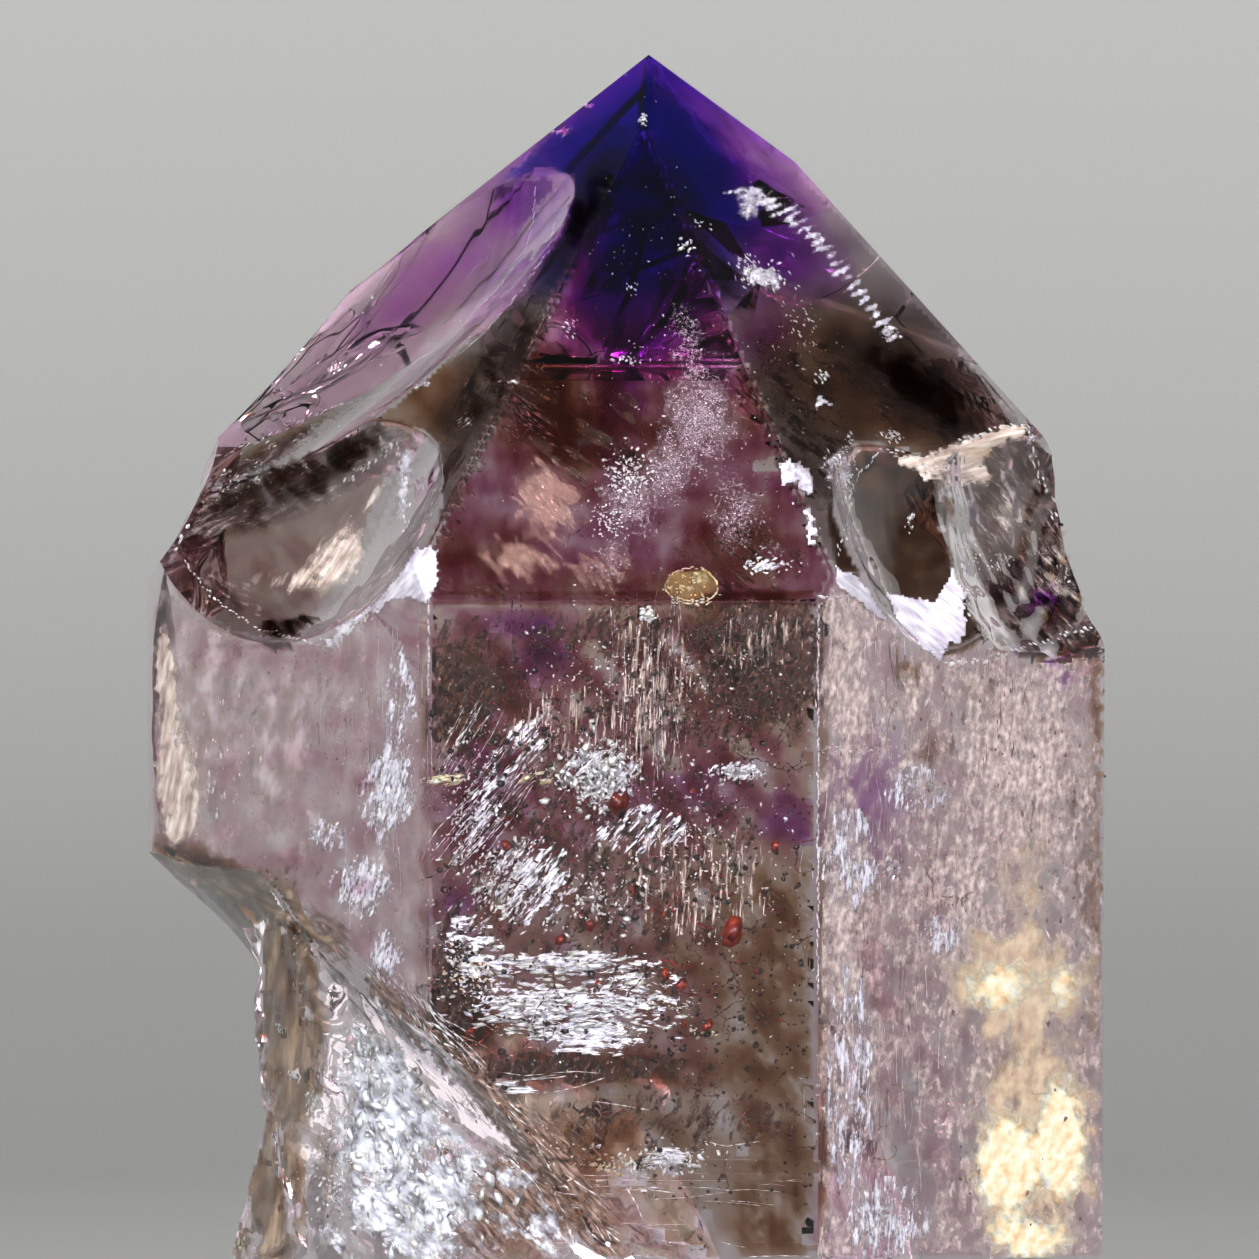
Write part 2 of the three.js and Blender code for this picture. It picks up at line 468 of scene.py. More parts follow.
    def ripples(self, chip: Chip, u: np.ndarray, v: np.ndarray) -> np.ndarray:
        """Work out the conchoidal rings and hackles of one chip.

        Args:
            chip: the chip.
            u: distance across the chip from its middle, in mm.
            v: distance up its slope from its middle, in mm.

        Returns:
            The height to add at each point, in mm.
        """
        du = u - chip.strike[0]
        dv = v - chip.strike[1]
        away = np.hypot(du, dv)
        turn = np.arctan2(du, -dv)
        flat = np.column_stack([u, v, np.zeros(len(u))])
        wander = 0.9 * waves(flat, 7.0, 21)
        rings = np.sin(2 * math.pi * (away + wander) / chip.pitch)
        rings *= np.clip(away / 9, 0.15, 1)
        hackle = np.sin(turn * 34 + 2.0 * waves(flat, 4.0, 22))
        broad = waves(flat, 4.5, 23)
        return chip.ripple * (rings + 0.35 * hackle + 1.6 * broad)

    def scoop_cutter(self) -> Object:
        """Make the scoop's ellipsoid less the stem and its arch, in mm."""
        bpy.ops.object.select_all(action="DESELECT")
        bpy.ops.mesh.primitive_ico_sphere_add(subdivisions=7, radius=1)
        scoop = bpy.context.object
        scoop.scale = [radius + self.inset for radius in self.scoop_radii]
        bpy.ops.object.transform_apply(location=True, rotation=True, scale=True)
        scoop.data.transform(Matrix.Rotation(math.radians(self.scoop_bearing), 4, "Z"))
        scoop.data.transform(Matrix.Translation(Vector(self.scoop_at)))
        boolean(scoop, self.stem.column("arch", self.rise, -self.inset), "DIFFERENCE")
        return scoop

    def label(self, obj: Object, patch: Patch) -> Object:
        """Give all of a mesh the name of what made it, as a bare material, and return it."""
        material = bpy.data.materials.get(patch.value) or bpy.data.materials.new(patch.value)
        obj.data.materials.clear()
        obj.data.materials.append(material)
        return obj

    def build(self) -> Object:
        """Cut and join the whole shell.

        Returns:
            The closed mesh, in metres.
        """
        shell = self.cut("amethyst_shell")
        self.mark_patches(shell)
        shell.data.transform(Matrix.Scale(MM, 4))
        return shell

    def cut(self, name: str) -> Object:
        """Cut the planes' block down by steps, chips and scoop, and join the stem to it.

        Args:
            name: the new object's name.

        Returns:
            The closed mesh, in mm, with a bare material for each kind of patch.
        """
        shell = self.label(self.habit.block(name, self.inset), Patch.GROWTH)
        for step in self.steps:
            boolean(shell, self.label(self.slab_cutter(step), Patch.GROWTH), "DIFFERENCE")
        for name, chip in self.chips.items():
            patch = Patch.ROOT if name.startswith("root") else Patch.BREAK
            boolean(shell, self.label(self.bowl_cutter(chip), patch), "DIFFERENCE")
        boolean(shell, self.label(self.scoop_cutter(), Patch.STEM), "DIFFERENCE")
        proud = self.proud - self.inset
        boolean(shell, self.label(self.stem.column("column", 0, proud), Patch.STEM), "UNION")
        return shell

    def mark_patches(self, shell: Object) -> None:
        """Smooth the shell and keep its edges and its patches' borders sharp.

        Args:
            shell: the shell, with one bare material for each kind of patch.
        """
        select_only(shell)
        bpy.ops.object.shade_smooth_by_angle(angle=math.radians(self.crease))
        mesh = shell.data
        index = np.empty(len(mesh.polygons), dtype=np.int32)
        mesh.polygons.foreach_get("material_index", index)
        edge_of_loop = np.empty(len(mesh.loops), dtype=np.int32)
        mesh.loops.foreach_get("edge_index", edge_of_loop)
        total = np.empty(len(mesh.polygons), dtype=np.int32)
        mesh.polygons.foreach_get("loop_total", total)
        face_of_loop = np.repeat(np.arange(len(total)), total)
        low = np.full(len(mesh.edges), 999, dtype=np.int32)
        high = np.full(len(mesh.edges), -1, dtype=np.int32)
        np.minimum.at(low, edge_of_loop, index[face_of_loop])
        np.maximum.at(high, edge_of_loop, index[face_of_loop])
        sharp = mesh.attributes.get("sharp_edge")
        if sharp is None:
            sharp = mesh.attributes.new("sharp_edge", "BOOLEAN", "EDGE")
        flags = np.empty(len(mesh.edges), dtype=bool)
        sharp.data.foreach_get("value", flags)
        flags |= low != high
        sharp.data.foreach_set("value", flags)
        mesh.materials.clear()


class NodeSheet:
    """A material's node tree, with short ways to add linked nodes."""

    def __init__(self, name: str) -> None:
        """Start an empty material with its output node."""
        self.material = bpy.data.materials.new(name)
        self.material.use_nodes = True
        self.tree = self.material.node_tree
        self.tree.nodes.clear()
        self.out = self.add("ShaderNodeOutputMaterial")

    def add(self, kind: str, inputs: dict | None = None, **settings: object) -> Node:
        """Add a node.

        Args:
            kind: the node's type.
            inputs: by name or number, each input's value or the output that is linked to it.
            settings: the node's own settings by name.

        Returns:
            The node.
        """
        node = self.tree.nodes.new(kind)
        for key, value in settings.items():
            setattr(node, key, value)
        for key, value in (inputs or {}).items():
            if isinstance(value, Socket):
                self.tree.links.new(value, node.inputs[key])
            else:
                node.inputs[key].default_value = value
        return node

    def noise(self, place: Socket, scale: float, detail: float, **inputs: float) -> Node:
        """Add noise with some waves per unit of place and finer layers, and return it."""
        values = {"Vector": place, "Scale": scale, "Detail": detail, **inputs}
        return self.add("ShaderNodeTexNoise", values)

    def multiply(self, first: Socket, second: Socket, share: float) -> Socket:
        """Multiply a share of the second colour into the first and return the result's socket."""
        inputs = {"Factor": share, "A": first, "B": second}
        return self.add("ShaderNodeMix", inputs, data_type="RGBA", blend_type="MULTIPLY").outputs["Result"]

    def spread(self, source: Socket, low: float, high: float) -> Socket:
        """Map 0 to 1 onto low to high and return the result's socket."""
        return self.add("ShaderNodeMapRange", {"Value": source, "To Min": low, "To Max": high}).outputs[0]

    def ramp(self, stops: list[tuple[float, tuple]], source: Socket) -> Socket:
        """Add a colour ramp.

        Args:
            stops: place and colour of each stop.
            source: what drives it.

        Returns:
            Its colour socket.
        """
        node = self.add("ShaderNodeValToRGB", {"Fac": source})
        elements = node.color_ramp.elements
        while len(elements) < len(stops):
            elements.new(0.5)
        for element, (place, colour) in zip(elements, stops):
            element.position = place
            element.color = (*colour, 1)
        return node.outputs["Color"]

    def bump(self, height: Socket, strength: float, distance: float) -> Socket:
        """Add a bump on a height, with its distance in metres, and return its normal."""
        inputs = {"Height": height, "Strength": strength, "Distance": distance}
        return self.add("ShaderNodeBump", inputs).outputs["Normal"]

    def close(self, **shaders: Node) -> Material:
        """Link shaders to the output's Surface or Volume and return the material."""
        for key, shader in shaders.items():
            self.tree.links.new(shader.outputs[0], self.out.inputs[key])
        return self.material


@dataclass(frozen=True)
class QuartzFinish:
    """Clear smoky quartz: plain transmission, IOR and absorption."""

    name: str = "amethyst quartz"
    ior: float = 1.544
    absorption: Triple = (0.80, 0.66, 0.74)
    density: float = 30.0

    def make(self) -> Material:
        """Build the material and return it."""
        sheet = NodeSheet(self.name)
        clear = {"Transmission Weight": 1.0, "IOR": self.ior, "Roughness": 0.0, "Base Color": (1, 1, 1, 1)}
        glass = sheet.add("ShaderNodeBsdfPrincipled", clear)
        takes = {"Color": (*self.absorption, 1), "Density": self.density}
        return sheet.close(Surface=glass, Volume=sheet.add("ShaderNodeVolumeAbsorption", takes))


@dataclass(frozen=True)
class ZoneFinish:
    """A colour zone: what it takes from red, green and blue light in each mm.

    most is the largest share that the shader's colour itself takes.
    """

    name: str
    per_mm: Triple
    most: float = 0.98

    def make(self) -> Material:
        """Build the volume-only material and return it."""
        sheet = NodeSheet(self.name)
        density = max(self.per_mm) / MM / self.most
        colour = [1 - value / MM / density for value in self.per_mm]
        takes = {"Color": (*colour, 1), "Density": density}
        return sheet.close(Volume=sheet.add("ShaderNodeVolumeAbsorption", takes))


@dataclass(frozen=True)
class ShardFinish:
    """Flakes, needles or grains: a ramp of colours over their own tint, and their gloss."""

    name: str
    colours: Colours
    metallic: float = 0.0
    roughness: float = 0.3
    alpha: float = 1.0
    grain_scale: float = 2600
    grain_share: float = 0.35
    grain_height: float = 0.00004

    def make(self) -> Material:
        """Build the material and return it."""
        sheet = NodeSheet(self.name)
        tint = sheet.add("ShaderNodeAttribute", attribute_name="tint")
        count = len(self.colours)
        stops = [((i + 0.5) / count, colour) for i, colour in enumerate(self.colours)]
        ramp = sheet.ramp(stops, tint.outputs["Fac"])
        place = sheet.add("ShaderNodeTexCoord").outputs["Object"]
        grain = sheet.noise(place, self.grain_scale, 3).outputs["Fac"]
        skin = sheet.add(
            "ShaderNodeBsdfPrincipled",
            {
                "Base Color": sheet.multiply(ramp, grain, self.grain_share),
                "Metallic": self.metallic,
                "Alpha": self.alpha,
                "Roughness": sheet.spread(grain, self.roughness * 0.6, self.roughness * 1.4),
                "Normal": sheet.bump(grain, 0.35, self.grain_height),
            },
        )
        return sheet.close(Surface=skin)


@dataclass(frozen=True)
class FloorFinish:
    """The stage's matt paint, with painted shading: darkest a little way from the crystal, paler far off,
    dark atop the wall, darker in front.
    """

    name: str = "pale floor with painted shading"
    near: Triple = (0.19, 0.19, 0.184)
    middle: Triple = (0.12, 0.12, 0.117)
    far: Triple = (0.34, 0.34, 0.332)
    high: Triple = (0.03, 0.03, 0.03)
    front_share: float = 0.3

    def make(self) -> Material:
        """Build the material and return it."""
        sheet = NodeSheet(self.name)
        place = sheet.add("ShaderNodeTexCoord").outputs["Object"]
        away = sheet.add("ShaderNodeVectorMath", {0: place}, operation="LENGTH")
        # painted shading: a darker ring near the crystal and a dark wall top, paler far off
        stops = [(0.03, self.near), (0.14, self.middle), (0.85, self.far), (1.1, self.high)]
        ramp = sheet.ramp(stops, away.outputs["Value"])
        split = sheet.add("ShaderNodeSeparateXYZ", {0: place})
        # darker paint in front of the crystal
        front = sheet.add(
            "ShaderNodeMapRange",
            {
                "Value": split.outputs["Y"],
                "From Min": -0.35,
                "From Max": 0.02,
                "To Min": self.front_share,
                "To Max": 1.0,
            },
            interpolation_type="SMOOTHSTEP",
        )
        colour = sheet.multiply(ramp, front.outputs["Result"], 1.0)
        matt = {"Base Color": colour, "Roughness": 0.9, "Specular IOR Level": 0.1}
        return sheet.close(Surface=sheet.add("ShaderNodeBsdfPrincipled", matt))


SILVER = ShardFinish(
    "silver flakes",
    ((0.97, 0.95, 1.0), (0.92, 0.9, 0.96), (1.0, 0.98, 0.94), (0.8, 0.76, 0.9), (1.0, 1.0, 1.0)),
    metallic=0.2, roughness=0.25,
)
GROUND = ShardFinish("ground base", ((0.92, 0.9, 0.94), (0.92, 0.9, 0.94)), roughness=0.7)
# partly golden flakes, partly painted golden glints, as on the stem and the pocket's bright rim
GOLD = ShardFinish(
    "golden flakes and painted glints", ((1.0, 0.86, 0.55), (1.0, 0.95, 0.8), (0.95, 0.7, 0.36), (1.0, 0.98, 0.9)),
    metallic=0.4, roughness=0.35,
)
# painted glints: pink flakes standing in for magenta sparks of light on the left edge
PAINTED_MAGENTA_GLINT = ShardFinish(
    "painted magenta glints", ((1.0, 0.25, 0.9), (1.0, 0.75, 1.0), (0.85, 0.12, 0.8)), metallic=0.6,
)
# painted glints: blue-white flakes for sky reflected on the stem's lumps
STEM_GLINT_FLAKES = ShardFinish(
    "stem painted glints",
    ((0.86, 0.88, 0.97), (0.96, 0.96, 1.0), (0.7, 0.72, 0.84), (0.98, 0.93, 0.86), (0.9, 0.92, 1.0)),
    metallic=0.3, roughness=0.35,
)
IRON = ShardFinish(
    "iron oxide flakes", ((0.2, 0.01, 0.004), (0.34, 0.024, 0.006), (0.12, 0.006, 0.004)), roughness=0.35,
)
NEEDLE = ShardFinish(
    "iron oxide needles", ((0.06, 0.004, 0.006), (0.012, 0.003, 0.003), (0.12, 0.006, 0.01)), roughness=0.4,
)
DOT = ShardFinish(
    "dark dots", ((0.02, 0.01, 0.01), (0.05, 0.015, 0.012), (0.01, 0.008, 0.01)), roughness=0.4,
)
POCKET_WATER = ShardFinish(
    "pocket fluid", ((0.55, 0.36, 0.12), (0.7, 0.5, 0.2)), roughness=0.12, alpha=0.3,
)
BUBBLE = ShardFinish(
    "pocket bubble", ((1.0, 0.93, 0.7), (1.0, 0.97, 0.85)), metallic=0.5, roughness=0.1, alpha=0.75,
)
STAIN = ShardFinish(
    "brown stain", ((0.2, 0.08, 0.05), (0.34, 0.17, 0.11), (0.12, 0.05, 0.035)), roughness=0.5,
)


def mesh_object(name: str, points: np.ndarray, faces: np.ndarray) -> Object:
    """Make an object from arrays.

    Args:
        name: its name.
        points: rows of x, y, z in metres.
        faces: rows of three or four vertex numbers.

    Returns:
        The object, in the scene.
    """
    mesh = bpy.data.meshes.new(name)
    count, sides = faces.shape
    mesh.vertices.add(len(points))
    mesh.vertices.foreach_set("co", points.reshape(-1))
    mesh.loops.add(count * sides)
    mesh.loops.foreach_set("vertex_index", faces.reshape(-1).astype(np.int32))
    mesh.polygons.add(count)
    mesh.polygons.foreach_set("loop_start", np.arange(count, dtype=np.int32) * sides)
    mesh.update(calc_edges=True)
    mesh.validate()
    obj = bpy.data.objects.new(name, mesh)
    bpy.context.scene.collection.objects.link(obj)
    return obj


def dress(obj: Object, material: Material) -> Object:
    """Give a piece its finish in one material slot, make it ride on the crystal, and return it."""
    obj.data.materials.clear()
    obj.data.materials.append(material)
    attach(obj, "root")
    LOG.info("%s: %d faces", obj.name, len(obj.data.polygons))
    return obj


class Sight:
    """Finds points inside the quartz that the camera sees at a place of the picture."""

    frame = 1259
    half_width = 0.1
    target = Vector((0, 0, 0.0381375))
    azimuth = 3.2
    elevation = 3.0
    distance = 0.2203
    ior = 1.544
    start = 1e-5
    clearance = 0.0002

    def __init__(self, shell: Object) -> None:
        """Keep the shell's surface for casting rays."""
        self.tree = BVHTree.FromObject(shell, bpy.context.evaluated_depsgraph_get())
        back = plan_direction(self.azimuth) * math.cos(math.radians(self.elevation))
        back.z = math.sin(math.radians(self.elevation))
        self.eye = self.target + back * self.distance
        self.forward = -back
        self.right = self.forward.cross(Vector((0, 0, 1))).normalized()
        self.up = self.right.cross(self.forward)
        self.pixel = 2 * self.half_width * self.distance / self.frame

    def inside(self, px: float, py: float, depth: float) -> tuple[Vector, Vector, Vector] | None:
        """Follow the camera's ray into the quartz.

        Args:
            px: picture place from the left, of 1259.
            py: picture place from the top, of 1259.
            depth: how far into the quartz, in mm.

        Returns:
            The point, the surface's outward normal and the ray's direction inside, or None beside
            the crystal.
        """
        x = (2 * px / self.frame - 1) * self.half_width
        y = (1 - 2 * py / self.frame) * self.half_width
        ray = (self.forward + self.right * x + self.up * y).normalized()
        spot, normal, _, _ = self.tree.ray_cast(self.eye, ray)
        if spot is None:
            return None
        ratio = 1 / self.ior
        cosine = -normal.dot(ray)
        bent = ray * ratio + normal * (ratio * cosine - math.sqrt(1 - ratio**2 * (1 - cosine**2)))
        reach = depth * MM
        free = self.tree.ray_cast(spot + bent * self.start, bent)[3]
        if free is not None and free < reach + self.clearance:
            reach = free * 0.5
        return spot + bent * reach, normal, bent


@dataclass
class Shards:
    """Gathers small pointed plates, needles or grains into one mesh."""

    name: str
    sides: int = 5
    seed: int = 1
    centres: list = field(default_factory=list)
    axes: list = field(default_factory=list)
    sizes: list = field(default_factory=list)
    tints: list = field(default_factory=list)

    def __post_init__(self) -> None:
        """Start the shards' own run of chance."""
        self.chance = np.random.default_rng(self.seed)

    def add(self, centre: Vector, along: Vector, facing: Vector, size: Triple) -> None:
        """Add one shard.

        Args:
            centre: its middle, in metres.
            along: the direction of its length.
            facing: roughly the direction that its flat side faces.
            size: its half length, half width and half thickness, in metres.
        """
        along = along.normalized()
        across = facing.cross(along)
        if across.length < 1e-6:
            across = along.orthogonal()
        across.normalize()
        self.centres.append(centre)
        self.axes.append((along, across, along.cross(across)))
        self.sizes.append(size)
        self.tints.append(self.chance.random())

    def build(self) -> Object:
        """Join every shard into one closed-pieced mesh, with the tints as an attribute."""
        centres = np.array(self.centres).reshape(-1, 1, 3)
        axes = np.array(self.axes).reshape(-1, 3, 3)
        sizes = np.array(self.sizes).reshape(-1, 3)
        count = len(centres)
        turn = 2 * math.pi * np.arange(self.sides) / self.sides
        jag = self.chance.uniform(0.65, 1.25, (count, self.sides))
        ring_x = np.cos(turn) * jag * sizes[:, :1]
        ring_y = np.sin(turn) * jag * sizes[:, 1:2]
        lift = self.chance.uniform(-0.6, 0.6, (count, self.sides)) * sizes[:, 2:]
        local = np.zeros((count, self.sides + 2, 3))
        local[:, : self.sides, 0] = ring_x
        local[:, : self.sides, 1] = ring_y
        local[:, : self.sides, 2] = lift
        local[:, self.sides, 2] = sizes[:, 2]
        local[:, self.sides + 1, 2] = -sizes[:, 2]
        points = centres + np.einsum("nij,njk->nik", local, axes)
        corner = np.arange(self.sides)
        after = (corner + 1) % self.sides
        top = np.column_stack([corner, after, np.full(self.sides, self.sides)])
        low = np.column_stack([after, corner, np.full(self.sides, self.sides + 1)])
        pattern = np.vstack([top, low])
        faces = pattern[None] + (np.arange(count) * (self.sides + 2))[:, None, None]
        obj = mesh_object(self.name, points.reshape(-1, 3), faces.reshape(-1, 3))
        tint = np.repeat(np.array(self.tints, dtype=np.float32), self.sides + 2)
        obj.data.attributes.new("tint", "FLOAT", "POINT").data.foreach_set("value", tint)
        return obj


UNDER_SKIN = (0.05, 0.3)
NEAR_SKIN = (0.05, 0.2)


@dataclass(frozen=True)
class Cloud:
    """A cloud of shards as the camera sees it: places and sizes in pixels, depths in mm.

    x and y: its middle. wide and tall: how far it reaches. small and large: the shards' lengths.
    tilt: the cloud's turn in degrees. slim and thick: their width and thickness as a share of the
    length. lie: the direction that they lie in, in degrees anticlockwise from the right, and
    scatter: how far they stray from it. tip: how far they tip away from facing the camera.
    flat: whether it is as dense at its edge as in its middle.
    """

    x: float
    y: float
    wide: float
    tall: float
    count: int
    small: float
    large: float
    tilt: float = 0.0
    slim: float = 0.6
    lie: float = 0.0
    scatter: float = 90.0
    depth: Pair = (0.06, 0.6)
    tip: float = 25.0
    thick: float = 0.12
    flat: bool = False


class Scatter:
    """Fills clouds, lines and areas of the picture with shards inside the quartz.

    rise: how far flat shards lean up to the light. small_power: how much commoner small shards
    are. branch_share: the chance of a branch at each step of a needle. crook: how far a needle
    turns at each step, in radians.
    """

    rise = 0.14
    small_power = 2.2
    branch_share = 0.35
    crook = 0.55

    def __init__(self, sight: Sight, seed: int) -> None:
        """Start with the camera's sight and a seed."""
        self.sight = sight
        self.chance = np.random.default_rng(seed)

    def place(
        self, shards: Shards, spot: Pair, depth: float, size: Triple, lie: float, tip: float
    ) -> None:
        """Put one shard at a place of the picture.

        Args:
            shards: what it is added to.
            spot: its place, in pixels.
            depth: how deep it is, in mm.
            size: its length, width and thickness, in pixels.
            lie: the direction that it lies in, in degrees.
            tip: how far it may tip away from facing the camera, in degrees.
        """
        found = self.sight.inside(spot[0], spot[1], depth)
        if found is None:
            return
        point, _, bent = found
        turn = math.radians(lie)
        along = self.sight.right * math.cos(turn) + self.sight.up * math.sin(turn)
        lean = np.radians(self.chance.normal(0, tip, 2)) if tip else (0, 0)
        facing = -bent + self.sight.right * math.tan(lean[0] * 0.7)
        facing = facing + self.sight.up * (math.tan(lean[1] * 0.7) + self.rise)
        along = along - facing * (along.dot(facing) / facing.length_squared)
        half = self.sight.pixel / 2
        shards.add(point, along, facing, (size[0] * half, size[1] * half, size[2] * half))

    def cloud(self, shards: Shards, cloud: Cloud) -> None:
        """Fill one cloud.

        Args:
            shards: what the shards are added to.
            cloud: where and how.
        """
        turn = math.radians(cloud.tilt)
        for _ in range(cloud.count):
            if cloud.flat:
                a, b = self.chance.uniform(-1, 1, 2)
            else:
                a, b = np.clip(self.chance.normal(0, 0.5, 2), -1.6, 1.6)
            a *= cloud.wide
            b *= cloud.tall
            px = cloud.x + a * math.cos(turn) + b * math.sin(turn)
            py = cloud.y - a * math.sin(turn) + b * math.cos(turn)
            length = cloud.small + (cloud.large - cloud.small) * self.chance.random() ** self.small_power
            width = length * cloud.slim * self.chance.uniform(0.6, 1.2)
            lie = cloud.lie + self.chance.normal(0, cloud.scatter)
            depth = self.chance.uniform(*cloud.depth)
            size = (length, width, max(0.6, length * cloud.thick))
            self.place(shards, (px, py), depth, size, lie, cloud.tip)

    def line(
        self,
        shards: Shards,
        points: list[Pair],
        width: float,
        depth: float = 0.3,
        step: float = 4.0,
        wander: float = 0.0,
    ) -> None:
        """Lay a run of overlapping shards along a line of the picture.

        Args:
            shards: what they are added to.
            points: the line's corners, in pixels.
            width: its width, in pixels.
            depth: how deep it lies, in mm.
            step: the distance between shards, in pixels.
            wander: how far shards stray from the line, in pixels.
        """
        for (x0, y0), (x1, y1) in zip(points, points[1:]):
            length = math.hypot(x1 - x0, y1 - y0)
            lie = math.degrees(math.atan2(y0 - y1, x1 - x0))
            count = max(1, round(length / step))
            for i in range(count):
                share = (i + 0.5) / count
                stray = self.chance.normal(0, wander, 2) if wander else (0, 0)
                spot = (x0 + (x1 - x0) * share + stray[0], y0 + (y1 - y0) * share + stray[1])
                wide = width * self.chance.uniform(0.6, 1.3)
                size = (length / count * 1.5, wide, max(0.8, wide * 0.6))
                self.place(shards, spot, depth, size, lie, 0)

    def streaks(
        self,
        shards: Shards,
        middle: Pair,
        spread: Pair,
        lie: float,
        count: int,
        length: Pair,
        width: float,
        depth: Pair = (0.3, 1.2),
        scatter: float = 4.0,
    ) -> None:
        """Lay long thin lines beside each other.

        Args:
            shards: what they are added to.
            middle: the bundle's middle, in pixels.
            spread: how far it reaches along and across its lines, in pixels.
            lie: the direction of the lines, in degrees.
            count: how many lines there are.
            length: their lengths, in pixels.
            width: their width, in pixels.
            depth: their depths, in mm.
            scatter: how far they stray from their direction, in degrees.
        """
        turn = math.radians(lie)
        for _ in range(count):
            a = self.chance.uniform(-1, 1) * spread[0]
            b = self.chance.normal(0, 0.5) * spread[1]
            px = middle[0] + a * math.cos(turn) + b * math.sin(turn)
            py = middle[1] - a * math.sin(turn) + b * math.cos(turn)
            own = math.radians(lie + self.chance.normal(0, scatter))
            reach = self.chance.uniform(*length) / 2
            bend = self.chance.normal(0, 0.06) * reach
            start = (px - reach * math.cos(own), py + reach * math.sin(own))
            end = (px + reach * math.cos(own), py - reach * math.sin(own))
            mid = (px + bend * math.sin(own), py + bend * math.cos(own))
            deep = self.chance.uniform(*depth)
            self.line(shards, [start, mid, end], width * self.chance.uniform(0.5, 1.4), deep, 9)

    def twigs(
        self,
        shards: Shards,
        middle: Pair,
        spread: Pair,
        count: int,
        length: Pair,
        width: float,
        depth: Pair = (0.2, 0.9),
    ) -> None:
        """Grow crooked, branching needles.

        Args:
            shards: what they are added to.
            middle: the middle of the area, in pixels.
            spread: its half width and half height, in pixels.
            count: how many needles grow.
            length: their lengths, in pixels.
            width: their width, in pixels.
            depth: their depths, in mm.
        """
        for _ in range(count):
            px = middle[0] + self.chance.uniform(-1, 1) * spread[0]
            py = middle[1] + self.chance.uniform(-1, 1) * spread[1]
            lie = self.chance.uniform(0, 2 * math.pi)
            left = self.chance.uniform(*length)
            deep = self.chance.uniform(*depth)
            thick = width * self.chance.uniform(0.6, 1.3)
            points = [(px, py)]
            while left > 0:
                step = self.chance.uniform(5, 11)
                lie += self.chance.normal(0, self.crook)
                px += step * math.cos(lie)
                py -= step * math.sin(lie)
                points.append((px, py))
                left -= step
                if self.chance.random() < self.branch_share:
                    side = lie + self.chance.choice((-1, 1)) * self.chance.uniform(0.6, 1.3)
                    reach = self.chance.uniform(5, 14)
                    tip = (px + reach * math.cos(side), py - reach * math.sin(side))
                    self.line(shards, [(px, py), tip], thick * 0.7, deep, 5)
            self.line(shards, points, thick, deep, 5)


def within(spots: np.ndarray, corners: np.ndarray) -> np.ndarray:
    """Test which spots lie in an outline.

    Args:
        spots: rows of x, y.
        corners: the outline's rows of x, y.

    Returns:
        True for each spot inside.
    """
    inside = np.zeros(len(spots), dtype=bool)
    x, y = spots.T
    for (x0, y0), (x1, y1) in zip(corners, np.roll(corners, -1, axis=0)):
        crosses = (y0 > y) != (y1 > y)
        run = np.where(y1 == y0, 1e-9, y1 - y0)
        inside ^= crosses & (x < (x1 - x0) * (y - y0) / run + x0)
    return inside


@dataclass(frozen=True)
class Dab:
    """A soft-edged ellipse of the picture.

    x and y are its middle, and wide and tall its half width and height, in pixels. turn is in
    degrees, and soft is the share of the way in from the edge that fades.
    """

    x: float
    y: float
    wide: float
    tall: float
    strength: float = 1.0
    turn: float = 0.0
    soft: float = 1.0

    def level(self, spots: np.ndarray) -> np.ndarray:
        """Return how strong the dab is at rows of x, y."""
        turn = math.radians(self.turn)
        dx, dy = (spots - (self.x, self.y)).T
        along = (dx * math.cos(turn) - dy * math.sin(turn)) / self.wide
        across = (dx * math.sin(turn) + dy * math.cos(turn)) / self.tall
        fade = np.clip((1 - np.hypot(along, across)) / self.soft, 0, 1)
        return self.strength * fade * fade * (3 - 2 * fade)


@dataclass(frozen=True)
class Area:
    """An outlined part of the picture: its corners and how far its edge fades inwards, in pixels."""

    corners: Outline
    strength: float = 1.0
    soft: float = 8.0

    def level(self, spots: np.ndarray) -> np.ndarray:
        """Return how strong the area is at rows of x, y."""
        corners = np.array(self.corners, dtype=float)
        away = np.full(len(spots), 1e9)
        for start, end in zip(corners, np.roll(corners, -1, axis=0)):
            run = end - start
            share = np.clip((spots - start) @ run / (run @ run), 0, 1)
            gap = spots - (start + share[:, None] * run)
            away = np.minimum(away, np.hypot(gap[:, 0], gap[:, 1]))
        return self.strength * within(spots, corners) * np.clip(away / self.soft, 0, 1)


MOST = 2.5
FAINT = 0.015
CELL_SLACK = 0.00008
LEAST_HALF = 0.003


